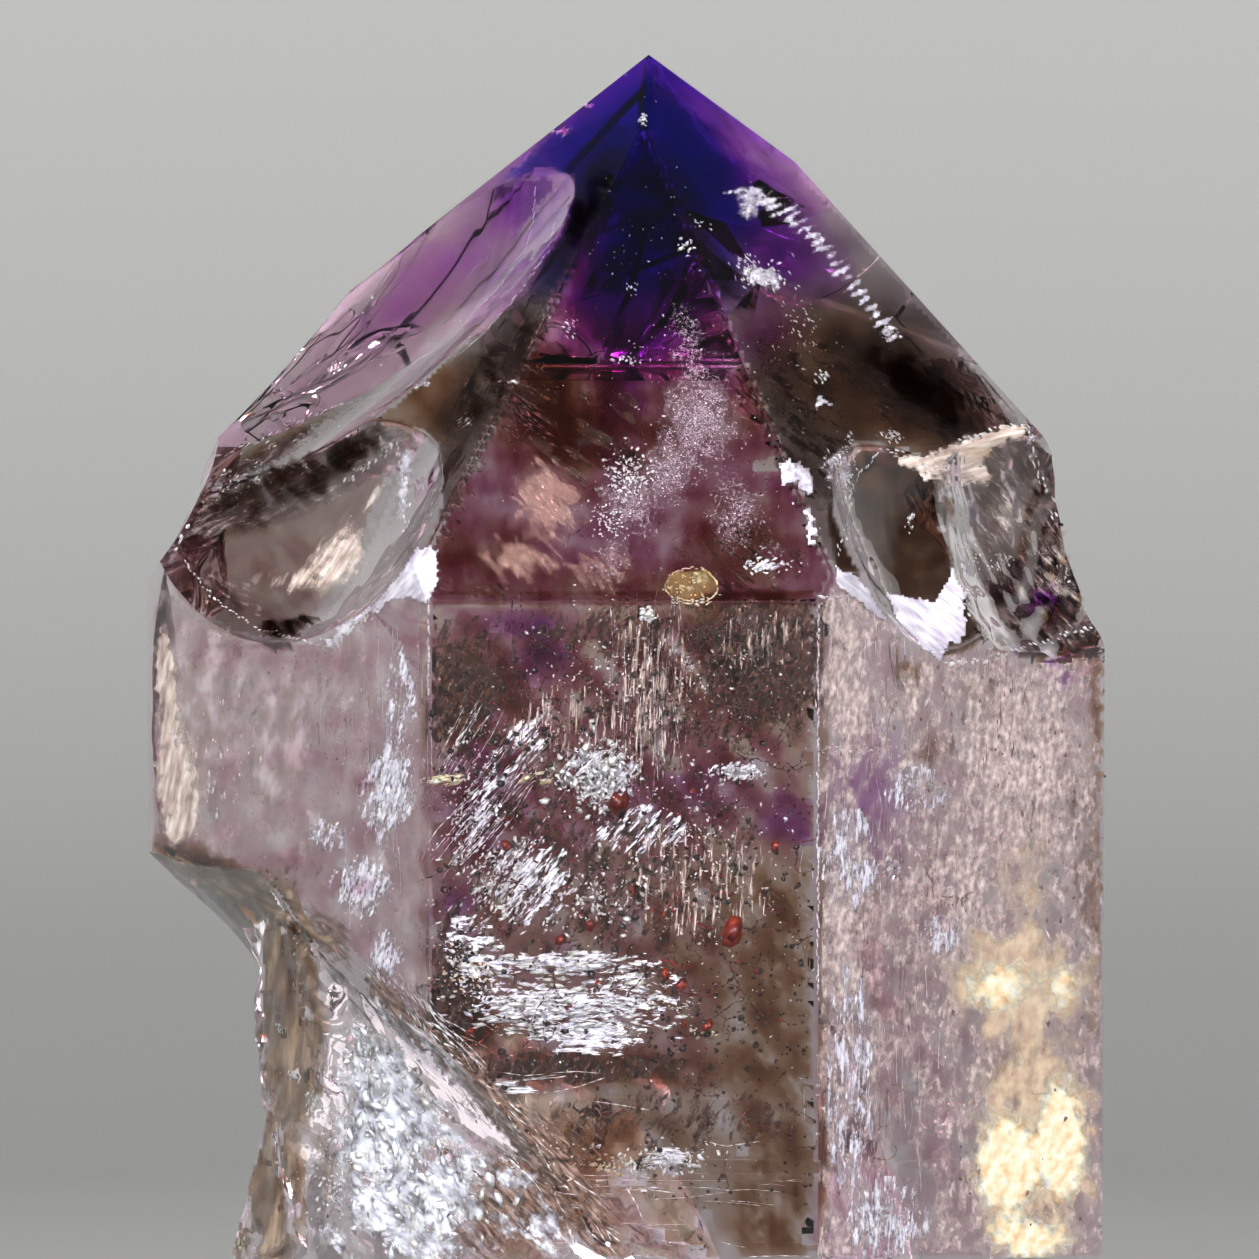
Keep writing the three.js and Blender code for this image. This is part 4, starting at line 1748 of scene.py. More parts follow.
@dataclass
class WindowContents:
    """What glints, runs and floats behind the broad front face."""

    sparkles: Clouds = (
        Cloud(598, 775, 40, 34, 420, 3, 13, tip=22), Cloud(738, 772, 30, 9, 90, 3, 9, tip=20),
        Cloud(505, 880, 46, 40, 300, 3, 11, tilt=50, lie=55, scatter=25, slim=0.4, tip=22),
        Cloud(470, 965, 26, 40, 160, 2, 8, tilt=45),
        Cloud(560, 1015, 80, 30, 520, 4, 20, slim=0.28, scatter=10, tip=20),
        Cloud(560, 965, 80, 12, 200, 4, 22, slim=0.22, lie=2, scatter=6, tip=20),
        Cloud(640, 1000, 60, 30, 180, 3, 14, slim=0.3, scatter=14), Cloud(600, 900, 60, 40, 200, 2, 8),
        Cloud(700, 850, 80, 90, 240, 2, 6), Cloud(660, 1160, 60, 14, 160, 2, 9, slim=0.5),
        Cloud(640, 680, 120, 60, 260, 2, 5), Cloud(470, 800, 30, 70, 200, 2, 6, lie=70, scatter=30),
        Cloud(620, 860, 190, 230, 500, 1.5, 4, flat=True),
    )
    gold: Clouds = (
        Cloud(445, 780, 15, 4, 40, 5, 18, slim=0.35, lie=8, scatter=10, tip=15, depth=UNDER_SKIN),
        Cloud(540, 778, 26, 8, 30, 3, 12, slim=0.4, lie=20, scatter=20), Cloud(470, 975, 30, 16, 60, 2, 7),
        Cloud(610, 1165, 26, 8, 30, 3, 8), Cloud(700, 1033, 22, 5, 18, 3, 9),
        Cloud(690, 588, 26, 18, 40, 2, 8, tip=18, depth=UNDER_SKIN),
    )
    # partly white veils, partly painted sheen of glinting fluid films
    silver_films: Layers = (
        Film("window_bars", (
            Dab(560, 962, 90, 13, 0.8, 0, 0.9), Dab(550, 1006, 84, 24, 1.25, 0, 0.8),
            Dab(590, 1036, 62, 20, 1.25, 0, 0.8), Dab(480, 960, 34, 60, 0.4, 30),
            Dab(640, 990, 50, 34, 0.35),
        ), depth=0.3, stretch=3, seed=901, clip=WINDOW),
        Film("window_fans", (
            Dab(600, 775, 46, 34, 0.9, 10), Dab(530, 880, 50, 50, 0.65, 48), Dab(640, 830, 60, 30, 0.35),
            Dab(490, 800, 24, 80, 0.3, -30), Dab(520, 745, 50, 24, 0.35, 45), Dab(738, 772, 40, 12, 0.5),
        ), depth=0.45, stretch=4, lie=48, seed=911, clip=WINDOW),
        Film("window_foot", (
            Dab(520, 1090, 60, 8, 0.4, -5), Dab(670, 1158, 44, 12, 0.5), Dab(640, 1186, 70, 5, 0.3, -3),
        ), depth=0.4, stretch=7, lie=-2, seed=931, clip=WINDOW),
    )
    brown_films: Layers = (
        Film("window_combs", (
            Dab(650, 690, 56, 90, 0.42), Dab(760, 640, 60, 40, 0.12), Dab(560, 720, 60, 50, 0.25),
            Dab(700, 880, 90, 70, 0.3),
        ), depth=0.25, stretch=9, lie=87, seed=921, clip=WINDOW),
    )
    dark_films: Layers = (
        Film("window_shade", (
            Dab(460, 690, 70, 80), Dab(765, 660, 90, 100, 1.4), Dab(455, 980, 44, 110, 0.8),
            Dab(560, 1068, 180, 18, 1.1, 0, 0.8), Dab(630, 630, 190, 36, 0.5),
            Dab(600, 860, 180, 140, 0.42), Dab(690, 1120, 130, 40, 0.4), Dab(650, 720, 120, 60, 0.35),
        ), depth=0.6, stretch=2, lie=70, seed=941, clip=WINDOW, cell=4),
    )

    def build(self, sight: Sight) -> None:
        """Build every kind of inclusion behind the window, with its painted shade and sheen."""
        lay(sight, SHEEN, self.silver_films)
        lay(sight, FIBROUS, self.brown_films)
        lay(sight, DUSKY, self.dark_films)
        self.glints(sight)
        self.lines(sight)
        self.oxide(sight)
        self.pocket(sight)

    def glints(self, sight: Sight) -> None:
        """Build the silver and golden flakes."""
        scatter = Scatter(sight, 101)
        silver = Shards("window_flakes", 5, 102)
        for cloud in self.sparkles:
            scatter.cloud(silver, cloud)
        dress(silver.build(), SILVER.make())
        gold = Shards("window_gold", 5, 103)
        for cloud in self.gold:
            scatter.cloud(gold, cloud)
        dress(gold.build(), GOLD.make())

    def lines(self, sight: Sight) -> None:
        """Build the fluid films that show as long fine lines."""
        scatter = Scatter(sight, 111)
        lines = Shards("window_lines", 4, 112)
        scatter.streaks(lines, (492, 800), (60, 28), 50, 60, (25, 90), 1.2)
        scatter.streaks(lines, (462, 740), (40, 20), 62, 30, (20, 60), 1.1)
        scatter.streaks(lines, (655, 690), (70, 45), 88, 60, (30, 110), 1.0, (0.4, 1.4))
        scatter.streaks(lines, (560, 1080), (70, 12), 4, 8, (30, 90), 1.0)
        scatter.streaks(lines, (680, 1190), (110, 60), -3, 22, (20, 70), 0.8)
        dress(lines.build(), SILVER.make())

    def oxide(self, sight: Sight) -> None:
        """Build the iron oxide flakes, needles and dots."""
        scatter = Scatter(sight, 121)
        needles = Shards("window_needles", 3, 122)
        scatter.twigs(needles, (590, 850), (160, 190), 150, (12, 44), 2.6, (0.06, 0.5))
        scatter.twigs(needles, (740, 690), (75, 80), 60, (12, 40), 2.2, (0.06, 0.5))
        scatter.twigs(needles, (600, 640), (150, 30), 50, (12, 36), 2.0, (0.06, 0.5))
        scatter.twigs(needles, (750, 980), (55, 180), 40, (10, 30), 2.0, (0.06, 0.4))
        dress(needles.build(), NEEDLE.make())
        dots = Shards("window_dots", 6, 123)
        for cloud in (
            Cloud(620, 860, 185, 230, 620, 3, 9, slim=0.9, thick=0.5, flat=True, depth=UNDER_SKIN),
            Cloud(730, 1010, 85, 200, 300, 2.5, 6.5, slim=0.9, thick=0.5, flat=True, depth=UNDER_SKIN),
            Cloud(520, 720, 90, 60, 90, 3, 9, slim=0.9, thick=0.5, flat=True, depth=UNDER_SKIN),
        ):
            scatter.cloud(dots, cloud)
        dress(dots.build(), DOT.make())
        flakes = Shards("iron_flakes", 7, 124)
        for spot, size in (
            ((620, 803), 20), ((731, 933), 23), ((707, 1026), 11), ((665, 975), 9), ((681, 985), 11),
            ((775, 845), 9), ((757, 970), 8), ((632, 890), 9), ((590, 925), 10), ((560, 940), 9),
            ((505, 845), 8), ((470, 1032), 8),
        ):
            for _ in range(5):
                stray = scatter.chance.normal(0, size * 0.12, 2)
                place = (spot[0] + stray[0], spot[1] + stray[1])
                scatter.place(flakes, place, 0.08, (size, size * 0.75, size * 0.12), 60, 12)
        scatter.twigs(flakes, (640, 920), (120, 90), 14, (10, 30), 2.4)
        scatter.cloud(flakes, Cloud(640, 900, 150, 130, 30, 4, 8, slim=0.8, thick=0.4, flat=True))
        dress(flakes.build(), IRON.make())

    def pocket(self, sight: Sight) -> None:
        """Build the fluid pocket under the roof's lower edge: a flat cavity with a free bubble."""
        scatter = Scatter(sight, 131)
        bpy.ops.object.select_all(action="DESELECT")
        for name, spot, size in (
            ("fluid_pocket", (692, 586), (25, 17, 9)), ("fluid_bubble", (700, 580), (8, 7, 5)),
        ):
            point, _, bent = sight.inside(*spot, 0.5)
            bpy.ops.mesh.primitive_uv_sphere_add(segments=48, ring_count=24, radius=1)
            body = bpy.context.object
            body.name = name
            unit = get_points(body)
            round_off = 1 + 0.10 * waves(unit, 1.1, 133)[:, None]
            axes = np.array([sight.right, sight.up, -bent])
            half = np.array(size) * sight.pixel
            set_points(body, np.array(point) + (unit * round_off * half) @ axes)
            select_only(body)
            bpy.ops.object.shade_smooth()
            dress(body, POCKET_WATER.make() if name == "fluid_pocket" else BUBBLE.make())
        rim = Shards("pocket_rim", 5, 132)
        ring = [
            (692 + 26 * math.cos(turn), 586 + 18 * math.sin(turn))
            for turn in np.linspace(0, 2 * math.pi, 30)
        ]
        scatter.line(rim, ring, 2.0, 0.42, 3, 0.7)
        dress(rim.build(), GOLD.make())


@dataclass
class TipContents:
    """The veils, grains and glints in the pyramid."""

    films: Layers = (
        Film("grainy_film", (
            Dab(690, 350, 22, 60, 0.5, 12), Dab(700, 420, 50, 60, 0.95), Dab(670, 470, 40, 40, 0.75, 40),
            Dab(630, 500, 34, 50, 0.8, 30), Dab(736, 510, 40, 50, 0.55, -10), Dab(770, 560, 26, 26, 0.3),
            Dab(610, 560, 26, 34, 0.4),
        ), depth=0.3, seed=951, clip=TRIANGLE, grain=22, stray=9),
    )
    rosy_films: Layers = (
        Film("rosy_patch", (
            Dab(548, 500, 50, 60, 0.85, 30), Dab(520, 560, 60, 44, 0.55), Dab(600, 570, 60, 40, 0.4),
        ), depth=0.3, seed=961, clip=TRIANGLE, stretch=3, lie=-50),
    )
    dark_films: Layers = (
        Film("roof_shade", (
            Dab(520, 395, 50, 50, 0.75, -35), Dab(450, 500, 26, 90, 0.3, -25), Dab(600, 440, 90, 60, 0.35),
            Dab(740, 560, 80, 40, 0.35), Dab(480, 590, 60, 14, 0.4),
        ), depth=0.45, seed=971, clip=TRIANGLE, stretch=3, lie=-40),
        Film("strip_shade", (
            Dab(500, 385, 40, 130, 0.4, -30), Dab(440, 490, 30, 80, 0.3, -25),
        ), depth=0.3, seed=972, stretch=7, lie=60, clip=LEFT_STRIP),
        Film("right_roof_shade", (
            Dab(900, 395, 110, 34, 0.6, -33), Dab(800, 420, 50, 110, 0.35, 20),
        ), depth=0.4, seed=973, stretch=3, lie=-30, clip=RIGHT_ROOF),
    )
    white_films: Layers = (
        Film("right_roof_patches", (
            Dab(762, 276, 30, 15, 0.7, -20, 0.8), Dab(748, 205, 20, 20, 0.55, 0, 0.9),
            Dab(823, 403, 11, 8, 0.8, 30, 0.7),
            Area((
                (776, 462), (792, 456), (812, 470), (818, 492), (806, 500), (796, 486), (780, 484),
            ), 1.2, 5),
            Area(((800, 502), (812, 508), (820, 530), (812, 548), (804, 540), (806, 520)), 1.1, 4),
            Dab(836, 470, 24, 30, 0.45, 20), Dab(766, 566, 28, 8, 0.6, 0, 0.9),
        ), depth=0.12, cell=2.5, seed=981, grain=9, stray=4),
    )
    spine: Outline = (
        (742, 190), (766, 200), (798, 222), (828, 252), (856, 288), (880, 320), (892, 338),
    )
    ribs: int = 24
    rib_width: float = 4.6
    clusters: Clouds = (
        Cloud(762, 276, 24, 13, 90, 4, 13, depth=UNDER_SKIN),
        Cloud(748, 262, 12, 14, 40, 3, 9, depth=UNDER_SKIN),
        Cloud(685, 246, 10, 9, 20, 3, 8, depth=NEAR_SKIN),
        Cloud(703, 226, 14, 5, 10, 3, 7, depth=NEAR_SKIN),
        Cloud(644, 120, 4, 8, 16, 3, 7, depth=(0.04, 0.1)),
        Cloud(620, 72, 10, 5, 8, 2, 5, depth=(0.04, 0.1)),
        Cloud(632, 288, 7, 7, 10, 2, 5, depth=UNDER_SKIN),
        Cloud(632, 360, 26, 4, 20, 2, 6, depth=UNDER_SKIN),
        Cloud(889, 332, 8, 6, 30, 3, 9, depth=NEAR_SKIN),
        Cloud(800, 330, 30, 40, 70, 2, 6, depth=(0.05, 0.4)),
        Cloud(823, 376, 9, 6, 20, 3, 8, depth=NEAR_SKIN), Cloud(850, 441, 4, 10, 16, 3, 7, depth=NEAR_SKIN),
        Cloud(892, 437, 12, 7, 50, 2, 7, depth=NEAR_SKIN),
        Cloud(838, 462, 14, 10, 60, 3, 9, depth=UNDER_SKIN),
        Cloud(845, 488, 10, 16, 60, 3, 8, depth=UNDER_SKIN),
        Cloud(766, 566, 26, 8, 60, 3, 8, depth=NEAR_SKIN),
        Cloud(628, 478, 24, 22, 200, 2, 6, depth=UNDER_SKIN),
        Cloud(608, 520, 16, 18, 90, 2, 5, depth=UNDER_SKIN),
        Cloud(648, 615, 7, 7, 40, 4, 9, tip=12, depth=(0.04, 0.1)),
        Cloud(571, 330, 8, 12, 16, 2, 8, lie=-50, scatter=20, slim=0.3, depth=UNDER_SKIN),
        Cloud(507, 382, 9, 3, 12, 3, 10, lie=-15, scatter=20, slim=0.3, depth=NEAR_SKIN),
        Cloud(466, 422, 11, 8, 24, 3, 9, lie=40, scatter=25, slim=0.4, depth=NEAR_SKIN),
        Cloud(690, 440, 130, 130, 160, 1.5, 4, depth=(0.04, 0.4)),
        Cloud(640, 250, 120, 110, 60, 1.5, 3.5, depth=(0.04, 0.3)),
    )

    def build(self, sight: Sight) -> None:
        """Build every inclusion of the pyramid, with its painted shade and highlights."""
        lay(sight, GRAINY, self.films)
        lay(sight, ROSE, self.rosy_films)
        lay(sight, DUSKY, self.dark_films)
        lay(sight, MILKY_AND_HIGHLIGHT, self.white_films)
        self.vertebrae(sight)
        self.glints(sight)
        self.dark(sight)

    def vertebrae(self, sight: Sight) -> None:
        """Build the row of short pale ribs in the right pyramid face."""
        chance = np.random.default_rng(212)
        corners = np.array(self.spine)
        at = np.concatenate([[0], np.cumsum(np.hypot(*np.diff(corners, axis=0).T))])
        ribs = []
        for share in np.linspace(0, 1, self.ribs):
            px = np.interp(share * at[-1], at, corners[:, 0])
            py = np.interp(share * at[-1], at, corners[:, 1])
            half = (24 - 11 * share) * chance.uniform(0.75, 1.2)
            turn = 18 + 14 * share + chance.normal(0, 5)
            ribs.append(Dab(px, py, half, self.rib_width, chance.uniform(0.5, 1.0), turn))
        film = Film(
            "vertebra_veil", tuple(ribs), depth=0.12, cell=2, seed=213, stray=1, grain=9, clip=RIGHT_ROOF
        )
        lay(sight, MILKY_AND_HIGHLIGHT, (film,))

    def glints(self, sight: Sight) -> None:
        """Build the white clusters and the painted magenta glints on the left edge."""
        scatter = Scatter(sight, 221)
        white = Shards("tip_flakes", 5, 222)
        for cloud in self.clusters:
            scatter.cloud(white, cloud)
        dress(white.build(), SILVER.make())
        spark = Shards("painted_magenta_glints", 5, 223)
        scatter.cloud(spark, Cloud(588, 106, 7, 4, 20, 3, 8, depth=(0.04, 0.1), lie=35, scatter=10))
        scatter.cloud(spark, Cloud(561, 131, 9, 4, 30, 3, 9, depth=(0.04, 0.1), lie=35, scatter=10))
        dress(spark.build(), PAINTED_MAGENTA_GLINT.make())

    def dark(self, sight: Sight) -> None:
        """Build the dark needles and flecks of the pyramid."""
        scatter = Scatter(sight, 231)
        needles = Shards("tip_needles", 3, 232)
        scatter.streaks(needles, (528, 405), (46, 22), -38, 22, (14, 44), 3.2, (0.1, 0.3))
        scatter.twigs(needles, (516, 438), (12, 6), 5, (8, 16), 2.4, (0.1, 0.3))
        scatter.twigs(needles, (660, 500), (110, 80), 26, (6, 18), 1.4, (0.1, 0.3))
        fields = ((840, 270, 70, 80, 70), (640, 480, 130, 100, 200), (640, 300, 50, 80, 40))
        for place in fields:
            scatter.cloud(needles, Cloud(*place, 1.6, 5, thick=0.5, flat=True, depth=(0.1, 0.3)))
        dress(needles.build(), NEEDLE.make())


@dataclass
class ShoulderBreaks:
    """The chipped shoulders' films, rims and fans: partly milky and cream fracture, partly painted
    highlights, and a painted shadow band between the left chips.
    """

    # painted highlights on the fracture surfaces, partly milky fracture
    milky: Layers = (
        Film("right_painted_highlight", (
            Area((
                (832, 562), (835, 586), (889, 627), (930, 655), (942, 665), (948, 645), (962, 643),
                (969, 632), (966, 605), (973, 573), (962, 556), (953, 561), (946, 577), (936, 599),
                (898, 593), (871, 588), (853, 572),
            ), 1.2, 4),
        ), cell=2.5, stretch=5, lie=-38, relief=0.05, seed=401, grain=9, stray=2),
        Film("left_rim_painted_highlight", (
            Area((
                (402, 528), (421, 545), (438, 545), (441, 578), (429, 606), (403, 600), (385, 606),
                (357, 627), (335, 648), (318, 652), (328, 634), (362, 600), (394, 568), (402, 550),
            ), 1.1, 5),
            Dab(404, 480, 10, 60, 0.75, -6), Dab(386, 445, 16, 12, 0.7, 30),
        ), cell=2.5, stretch=3, lie=48, relief=0.05, seed=441, grain=9),
        Film("left_silver_wedge", (
            Dab(418, 380, 22, 14, 0.8, 35, 0.9), Dab(462, 342, 30, 7, 0.5, 42),
        ), cell=2.5, stretch=4, lie=42, seed=451, grain=9),
    )
    # painted highlights on the ledge and the lower left chip's fan, partly cream fracture
    cream: Layers = (
        Film("right_ledge_painted_highlight", (
            Area((
                (888, 454), (925, 452), (960, 438), (1000, 425), (1026, 422), (1029, 440), (1002, 448),
                (985, 462), (1000, 486), (960, 492), (925, 480), (900, 468),
            ), 0.9),
            Dab(1000, 436, 36, 9, 0.6, 18, 0.9),
        ), cell=2.5, stretch=6, lie=14, relief=0.06, seed=411, grain=9),
        Film("left_painted_cream_highlight", (
            Dab(350, 545, 18, 40, 1.2), Dab(334, 560, 44, 28, 0.95, 40), Dab(300, 580, 60, 20, 0.4),
            Dab(376, 500, 20, 30, 0.3),
        ), cell=2.5, stretch=5, lie=58, seed=431, grain=12, relief=0.04),
        Film("left_edge_chip", (
            Area((
                (152, 640), (166, 610), (178, 660), (190, 730), (206, 790), (197, 825), (178, 848),
                (160, 838), (153, 770),
            ), 0.85, 9),
            Dab(190, 830, 34, 22, 0.5, 40),
        ), seed=461, stretch=5, lie=80, relief=0.04),
        Film("right_bowl_fibres", (
            Dab(1010, 510, 40, 30, 0.35), Dab(1060, 570, 30, 50, 0.35),
        ), cell=2.5, stretch=4, lie=-50, seed=462, grain=9),
    )
    # left_band and left_band_top paint the shadow band between the two left chips; the rest is smoky
    # fracture
    smoky: Layers = (
        Film("left_band", (
            Dab(300, 474, 160, 40, 1.3, 24, 0.6), Dab(210, 520, 26, 34, 0.6),
        ), depth=0.15, cell=2.5, stretch=4, lie=26, seed=471, grain=10, clip=LOW_CHIP),
        Film("left_band_top", (
            Dab(300, 448, 120, 20, 0.9, 26, 0.8), Dab(500, 290, 100, 14, 0.5, 48),
        ), depth=0.25, cell=2.5, stretch=6, lie=36, seed=473, grain=10, clip=LEFT_CHIP),
        Film("left_bowl", (
            Dab(300, 630, 50, 14, 1.0, 0, 0.8), Dab(230, 590, 50, 20, 0.5, -35),
        ), depth=0.25, stretch=3, lie=-30, seed=472, clip=LOW_CHIP),
        Film("right_chip_fibres", (
            Area(RIGHT_CHIP, 0.5, 6), Dab(1000, 540, 50, 60, 0.3),
        ), depth=0.2, cell=2.5, stretch=3, lie=-50, seed=474, grain=12, clip=RIGHT_CHIP),
    )

    def build(self, sight: Sight) -> None:
        """Build every film and rim."""
        lay(sight, SMOKY_AND_SHADOW, self.smoky)
        lay(sight, MILKY_AND_HIGHLIGHT, self.milky)
        lay(sight, CREAM, self.cream)
        self.rims(sight)

    def rims(self, sight: Sight) -> None:
        """Build the thin bright lines along the chips' and faces' edges, partly chipped crumbs and partly
        painted edge highlights, and the crumbs beside them.
        """
        scatter = Scatter(sight, 471)
        rim = Shards("chip_rims_and_edge_highlights", 5, 472)
        runs = (
            ([(396, 442), (403, 468), (405, 500), (406, 535)], 5, 2.0),
            ([(346, 482), (372, 462), (396, 444)], 4, 2.0),
            ([(183, 560), (215, 600), (258, 628), (300, 640), (335, 648)], 2.4, 1.0),
            ([(335, 648), (352, 628), (385, 604)], 4, 1.5),
            ([(180, 478), (184, 500), (186, 530), (176, 552)], 4, 2.0),
            ([(838, 556), (846, 530), (850, 500), (858, 474), (880, 452), (905, 452)], 2.6, 1.2),
            ([(944, 664), (985, 660), (1040, 642), (1103, 625)], 4, 1.4),
            ([(958, 440), (1000, 428), (1026, 424)], 4, 1.6),
            ([(1026, 424), (1030, 445), (1036, 470), (1050, 500), (1070, 540), (1096, 600)], 3, 2.0),
            ([(818, 598), (850, 596)], 2.4, 1.4),
            ([(820, 606), (852, 604)], 2.0, 1.4),
            ([(205, 462), (260, 440), (330, 408), (398, 388)], 1.6, 1.4),
            ([(535, 186), (534, 215), (528, 243), (503, 282), (466, 323)], 1.4, 0.6),
            ([(555, 223), (548, 250), (521, 291), (485, 332), (448, 364)], 1.6, 0.6),
            ([(428, 605), (428, 700)], 1.2, 0.8),
            ([(818, 604), (818, 1000)], 1.2, 0.8),
        )
        for points, width, wander in runs:
            scatter.line(rim, points, width, 0.06, 4, wander)
        for middle in ((1027, 437), (1092, 600), (1062, 578), (968, 600), (1000, 560), (975, 560)):
            scatter.cloud(rim, Cloud(*middle, 12, 12, 26, 2, 7, depth=(0.04, 0.2)))
        scatter.cloud(rim, Cloud(245, 478, 50, 20, 60, 3, 9, tilt=25, depth=NEAR_SKIN))
        scatter.cloud(rim, Cloud(352, 548, 10, 30, 40, 2, 8, depth=NEAR_SKIN))
        scatter.cloud(rim, Cloud(910, 522, 5, 10, 16, 3, 8, lie=60, scatter=10, depth=NEAR_SKIN))
        scatter.cloud(rim, Cloud(300, 300, 110, 130, 50, 2, 5, depth=(0.04, 0.2)))
        dress(rim.build(), SILVER.make())


@dataclass
class SideContents:
    """What shows behind the left and right prism faces."""

    left: Clouds = (
        Cloud(388, 795, 22, 44, 300, 3, 14, tilt=-8, lie=80, scatter=30, slim=0.4, depth=UNDER_SKIN),
        Cloud(365, 890, 24, 26, 160, 3, 11, depth=UNDER_SKIN),
        Cloud(386, 952, 10, 14, 50, 3, 10, depth=UNDER_SKIN),
        Cloud(326, 832, 14, 10, 40, 2, 8, depth=UNDER_SKIN),
        Cloud(340, 720, 70, 90, 130, 1.5, 5, depth=(0.05, 0.4)),
        Cloud(215, 760, 40, 80, 40, 4, 10, slim=0.7, lie=80, scatter=15, tip=14, depth=NEAR_SKIN),
        Cloud(395, 740, 22, 60, 90, 2, 7, depth=UNDER_SKIN),
    )
    right: Clouds = (
        Cloud(918, 790, 20, 20, 90, 2, 8, depth=UNDER_SKIN),
        Cloud(860, 750, 46, 5, 60, 2, 8, lie=-4, scatter=10, slim=0.3, depth=UNDER_SKIN),
        Cloud(892, 868, 6, 12, 40, 3, 10, lie=55, scatter=15, depth=NEAR_SKIN),
        Cloud(850, 870, 26, 22, 80, 2, 7, depth=UNDER_SKIN),
        Cloud(936, 938, 10, 12, 40, 2, 9, depth=NEAR_SKIN),
        Cloud(885, 1226, 34, 26, 200, 2, 11, depth=UNDER_SKIN),
        Cloud(850, 1100, 26, 90, 160, 1.5, 6, lie=85, scatter=20, depth=UNDER_SKIN),
        Cloud(960, 800, 120, 150, 140, 1.5, 4, depth=UNDER_SKIN),
    )
    # partly white veils, partly painted sheen
    white_films: Layers = (
        Film("left_veil", (
            Dab(388, 790, 30, 60, 1.4, -8), Dab(362, 885, 36, 34, 1.2, -30), Dab(386, 955, 20, 26, 1.2),
            Dab(330, 835, 24, 20, 0.35), Dab(400, 700, 20, 70, 0.35),
        ), depth=0.1, stretch=3, lie=75, seed=1001, clip=LEFT_SIDE),
        Film("right_veil", (
            Dab(850, 860, 36, 60, 0.5), Dab(915, 790, 40, 30, 0.45), Dab(885, 1220, 50, 50, 0.7),
            Dab(850, 1080, 30, 140, 0.4), Dab(940, 935, 26, 26, 0.4),
        ), depth=0.1, stretch=4, lie=88, seed=1011, clip=RIGHT_SIDE),
    )
    # painted light that makes the left prism face pale
    painted_light_films: Layers = (
        Film("left_painted_light", (
            Area(LEFT_SIDE, 0.42, 6), Dab(280, 745, 34, 76, 0.6, -8, 0.5),
            Dab(200, 720, 50, 130, 0.5, -8, 0.8),
        ), depth=0.2, stretch=2, lie=85, seed=1021, clip=LEFT_SIDE, cell=5),
    )
    # painted light that makes the right prism face pale
    painted_cream_light_films: Layers = (
        Film("right_painted_light", (
            Area(RIGHT_SIDE, 0.38, 6), Dab(880, 800, 50, 60, -0.2), Dab(846, 680, 30, 110, 0.45),
            Dab(1020, 760, 80, 160, 0.4), Dab(850, 930, 40, 140, 0.35), Dab(960, 900, 70, 110, 0.25),
            Dab(900, 1170, 60, 120, -0.25),
        ), depth=0.2, stretch=1.8, lie=86, seed=1031, clip=RIGHT_SIDE, cell=5, stray=8, grain=60),
    )
    # painted warm glow low on the right side
    painted_warm_films: Layers = (
        Film("painted_warm_glow_film", (
            Dab(1020, 985, 100, 80, 1.3), Dab(1035, 1140, 80, 140, 1.3, 0, 0.9),
            Dab(1020, 880, 70, 80, 0.4),
        ), depth=0.15, stretch=1.5, lie=80, seed=1032, clip=RIGHT_SIDE, cell=5, grain=40, stray=16),
    )
    # painted golden glow of light shining through low on the right side
    glow_layers: Layers = (
        Film("painted_golden_glow_film", (
            Dab(1000, 985, 64, 44, 0.85, 10), Dab(1064, 985, 28, 50, 0.75), Dab(1008, 1165, 50, 80, 1.5),
            Dab(1062, 1140, 36, 90, 1.6), Dab(1030, 1240, 70, 36),
        ), depth=0.12, stretch=1.4, lie=60, seed=1041, clip=RIGHT_SIDE),
    )
    stain_films: Layers = (
        Film("right_stains", (
            Dab(1085, 860, 22, 240, 0.5), Dab(1040, 810, 60, 90, 0.3), Dab(912, 676, 24, 22, 0.75, 0, 0.8),
            Dab(940, 740, 60, 60, 0.3), Dab(900, 960, 60, 200, 0.2), Dab(1020, 1080, 60, 40, 0.35),
        ), depth=0.35, stretch=4, lie=89, seed=1051, clip=RIGHT_SIDE),
        Film("left_stains", (
            Dab(330, 690, 80, 50, 0.3), Dab(240, 700, 40, 80, 0.3), Dab(300, 860, 40, 60, 0.3),
        ), depth=0.35, stretch=2, lie=70, seed=1061, clip=LEFT_SIDE),
    )

    def build(self, sight: Sight) -> None:
        """Build the flakes, fibres and specks of both sides, with their painted pale light and painted warm
        and golden glow.
        """
        lay(sight, PAINTED_PALE_LIGHT, self.painted_light_films)
        lay(sight, PAINTED_CREAMY_LIGHT, self.painted_cream_light_films)
        lay(sight, PAINTED_WARM_GLOW, self.painted_warm_films)
        lay(sight, RUSTY, self.stain_films)
        lay(sight, SHEEN, self.white_films)
        lay(sight, PAINTED_GOLDEN_GLOW, self.glow_layers)
        scatter = Scatter(sight, 501)
        silver = Shards("side_flakes", 5, 502)
        for cloud in self.left + self.right:
            scatter.cloud(silver, cloud)
        scatter.streaks(silver, (880, 900), (300, 60), 90, 110, (10, 60), 1.0, (0.05, 0.4), 3)
        scatter.streaks(silver, (380, 760), (150, 40), 90, 60, (10, 50), 1.0, (0.05, 0.4), 3)
        dress(silver.build(), SILVER.make())
        specks = Shards("side_specks", 5, 504)
        for cloud in (
            Cloud(1050, 810, 56, 120, 260, 2.5, 8, slim=0.8, thick=0.5, flat=True),
            Cloud(950, 720, 60, 70, 160, 2, 8, thick=0.5, flat=True, lie=90, scatter=20),
            Cloud(880, 950, 56, 250, 220, 2, 6, slim=0.5, thick=0.5, flat=True, lie=90, scatter=20),
            Cloud(330, 720, 80, 110, 120, 2, 6, thick=0.5, flat=True),
            Cloud(1020, 1120, 70, 110, 90, 3, 9, slim=0.8, thick=0.4, flat=True),
        ):
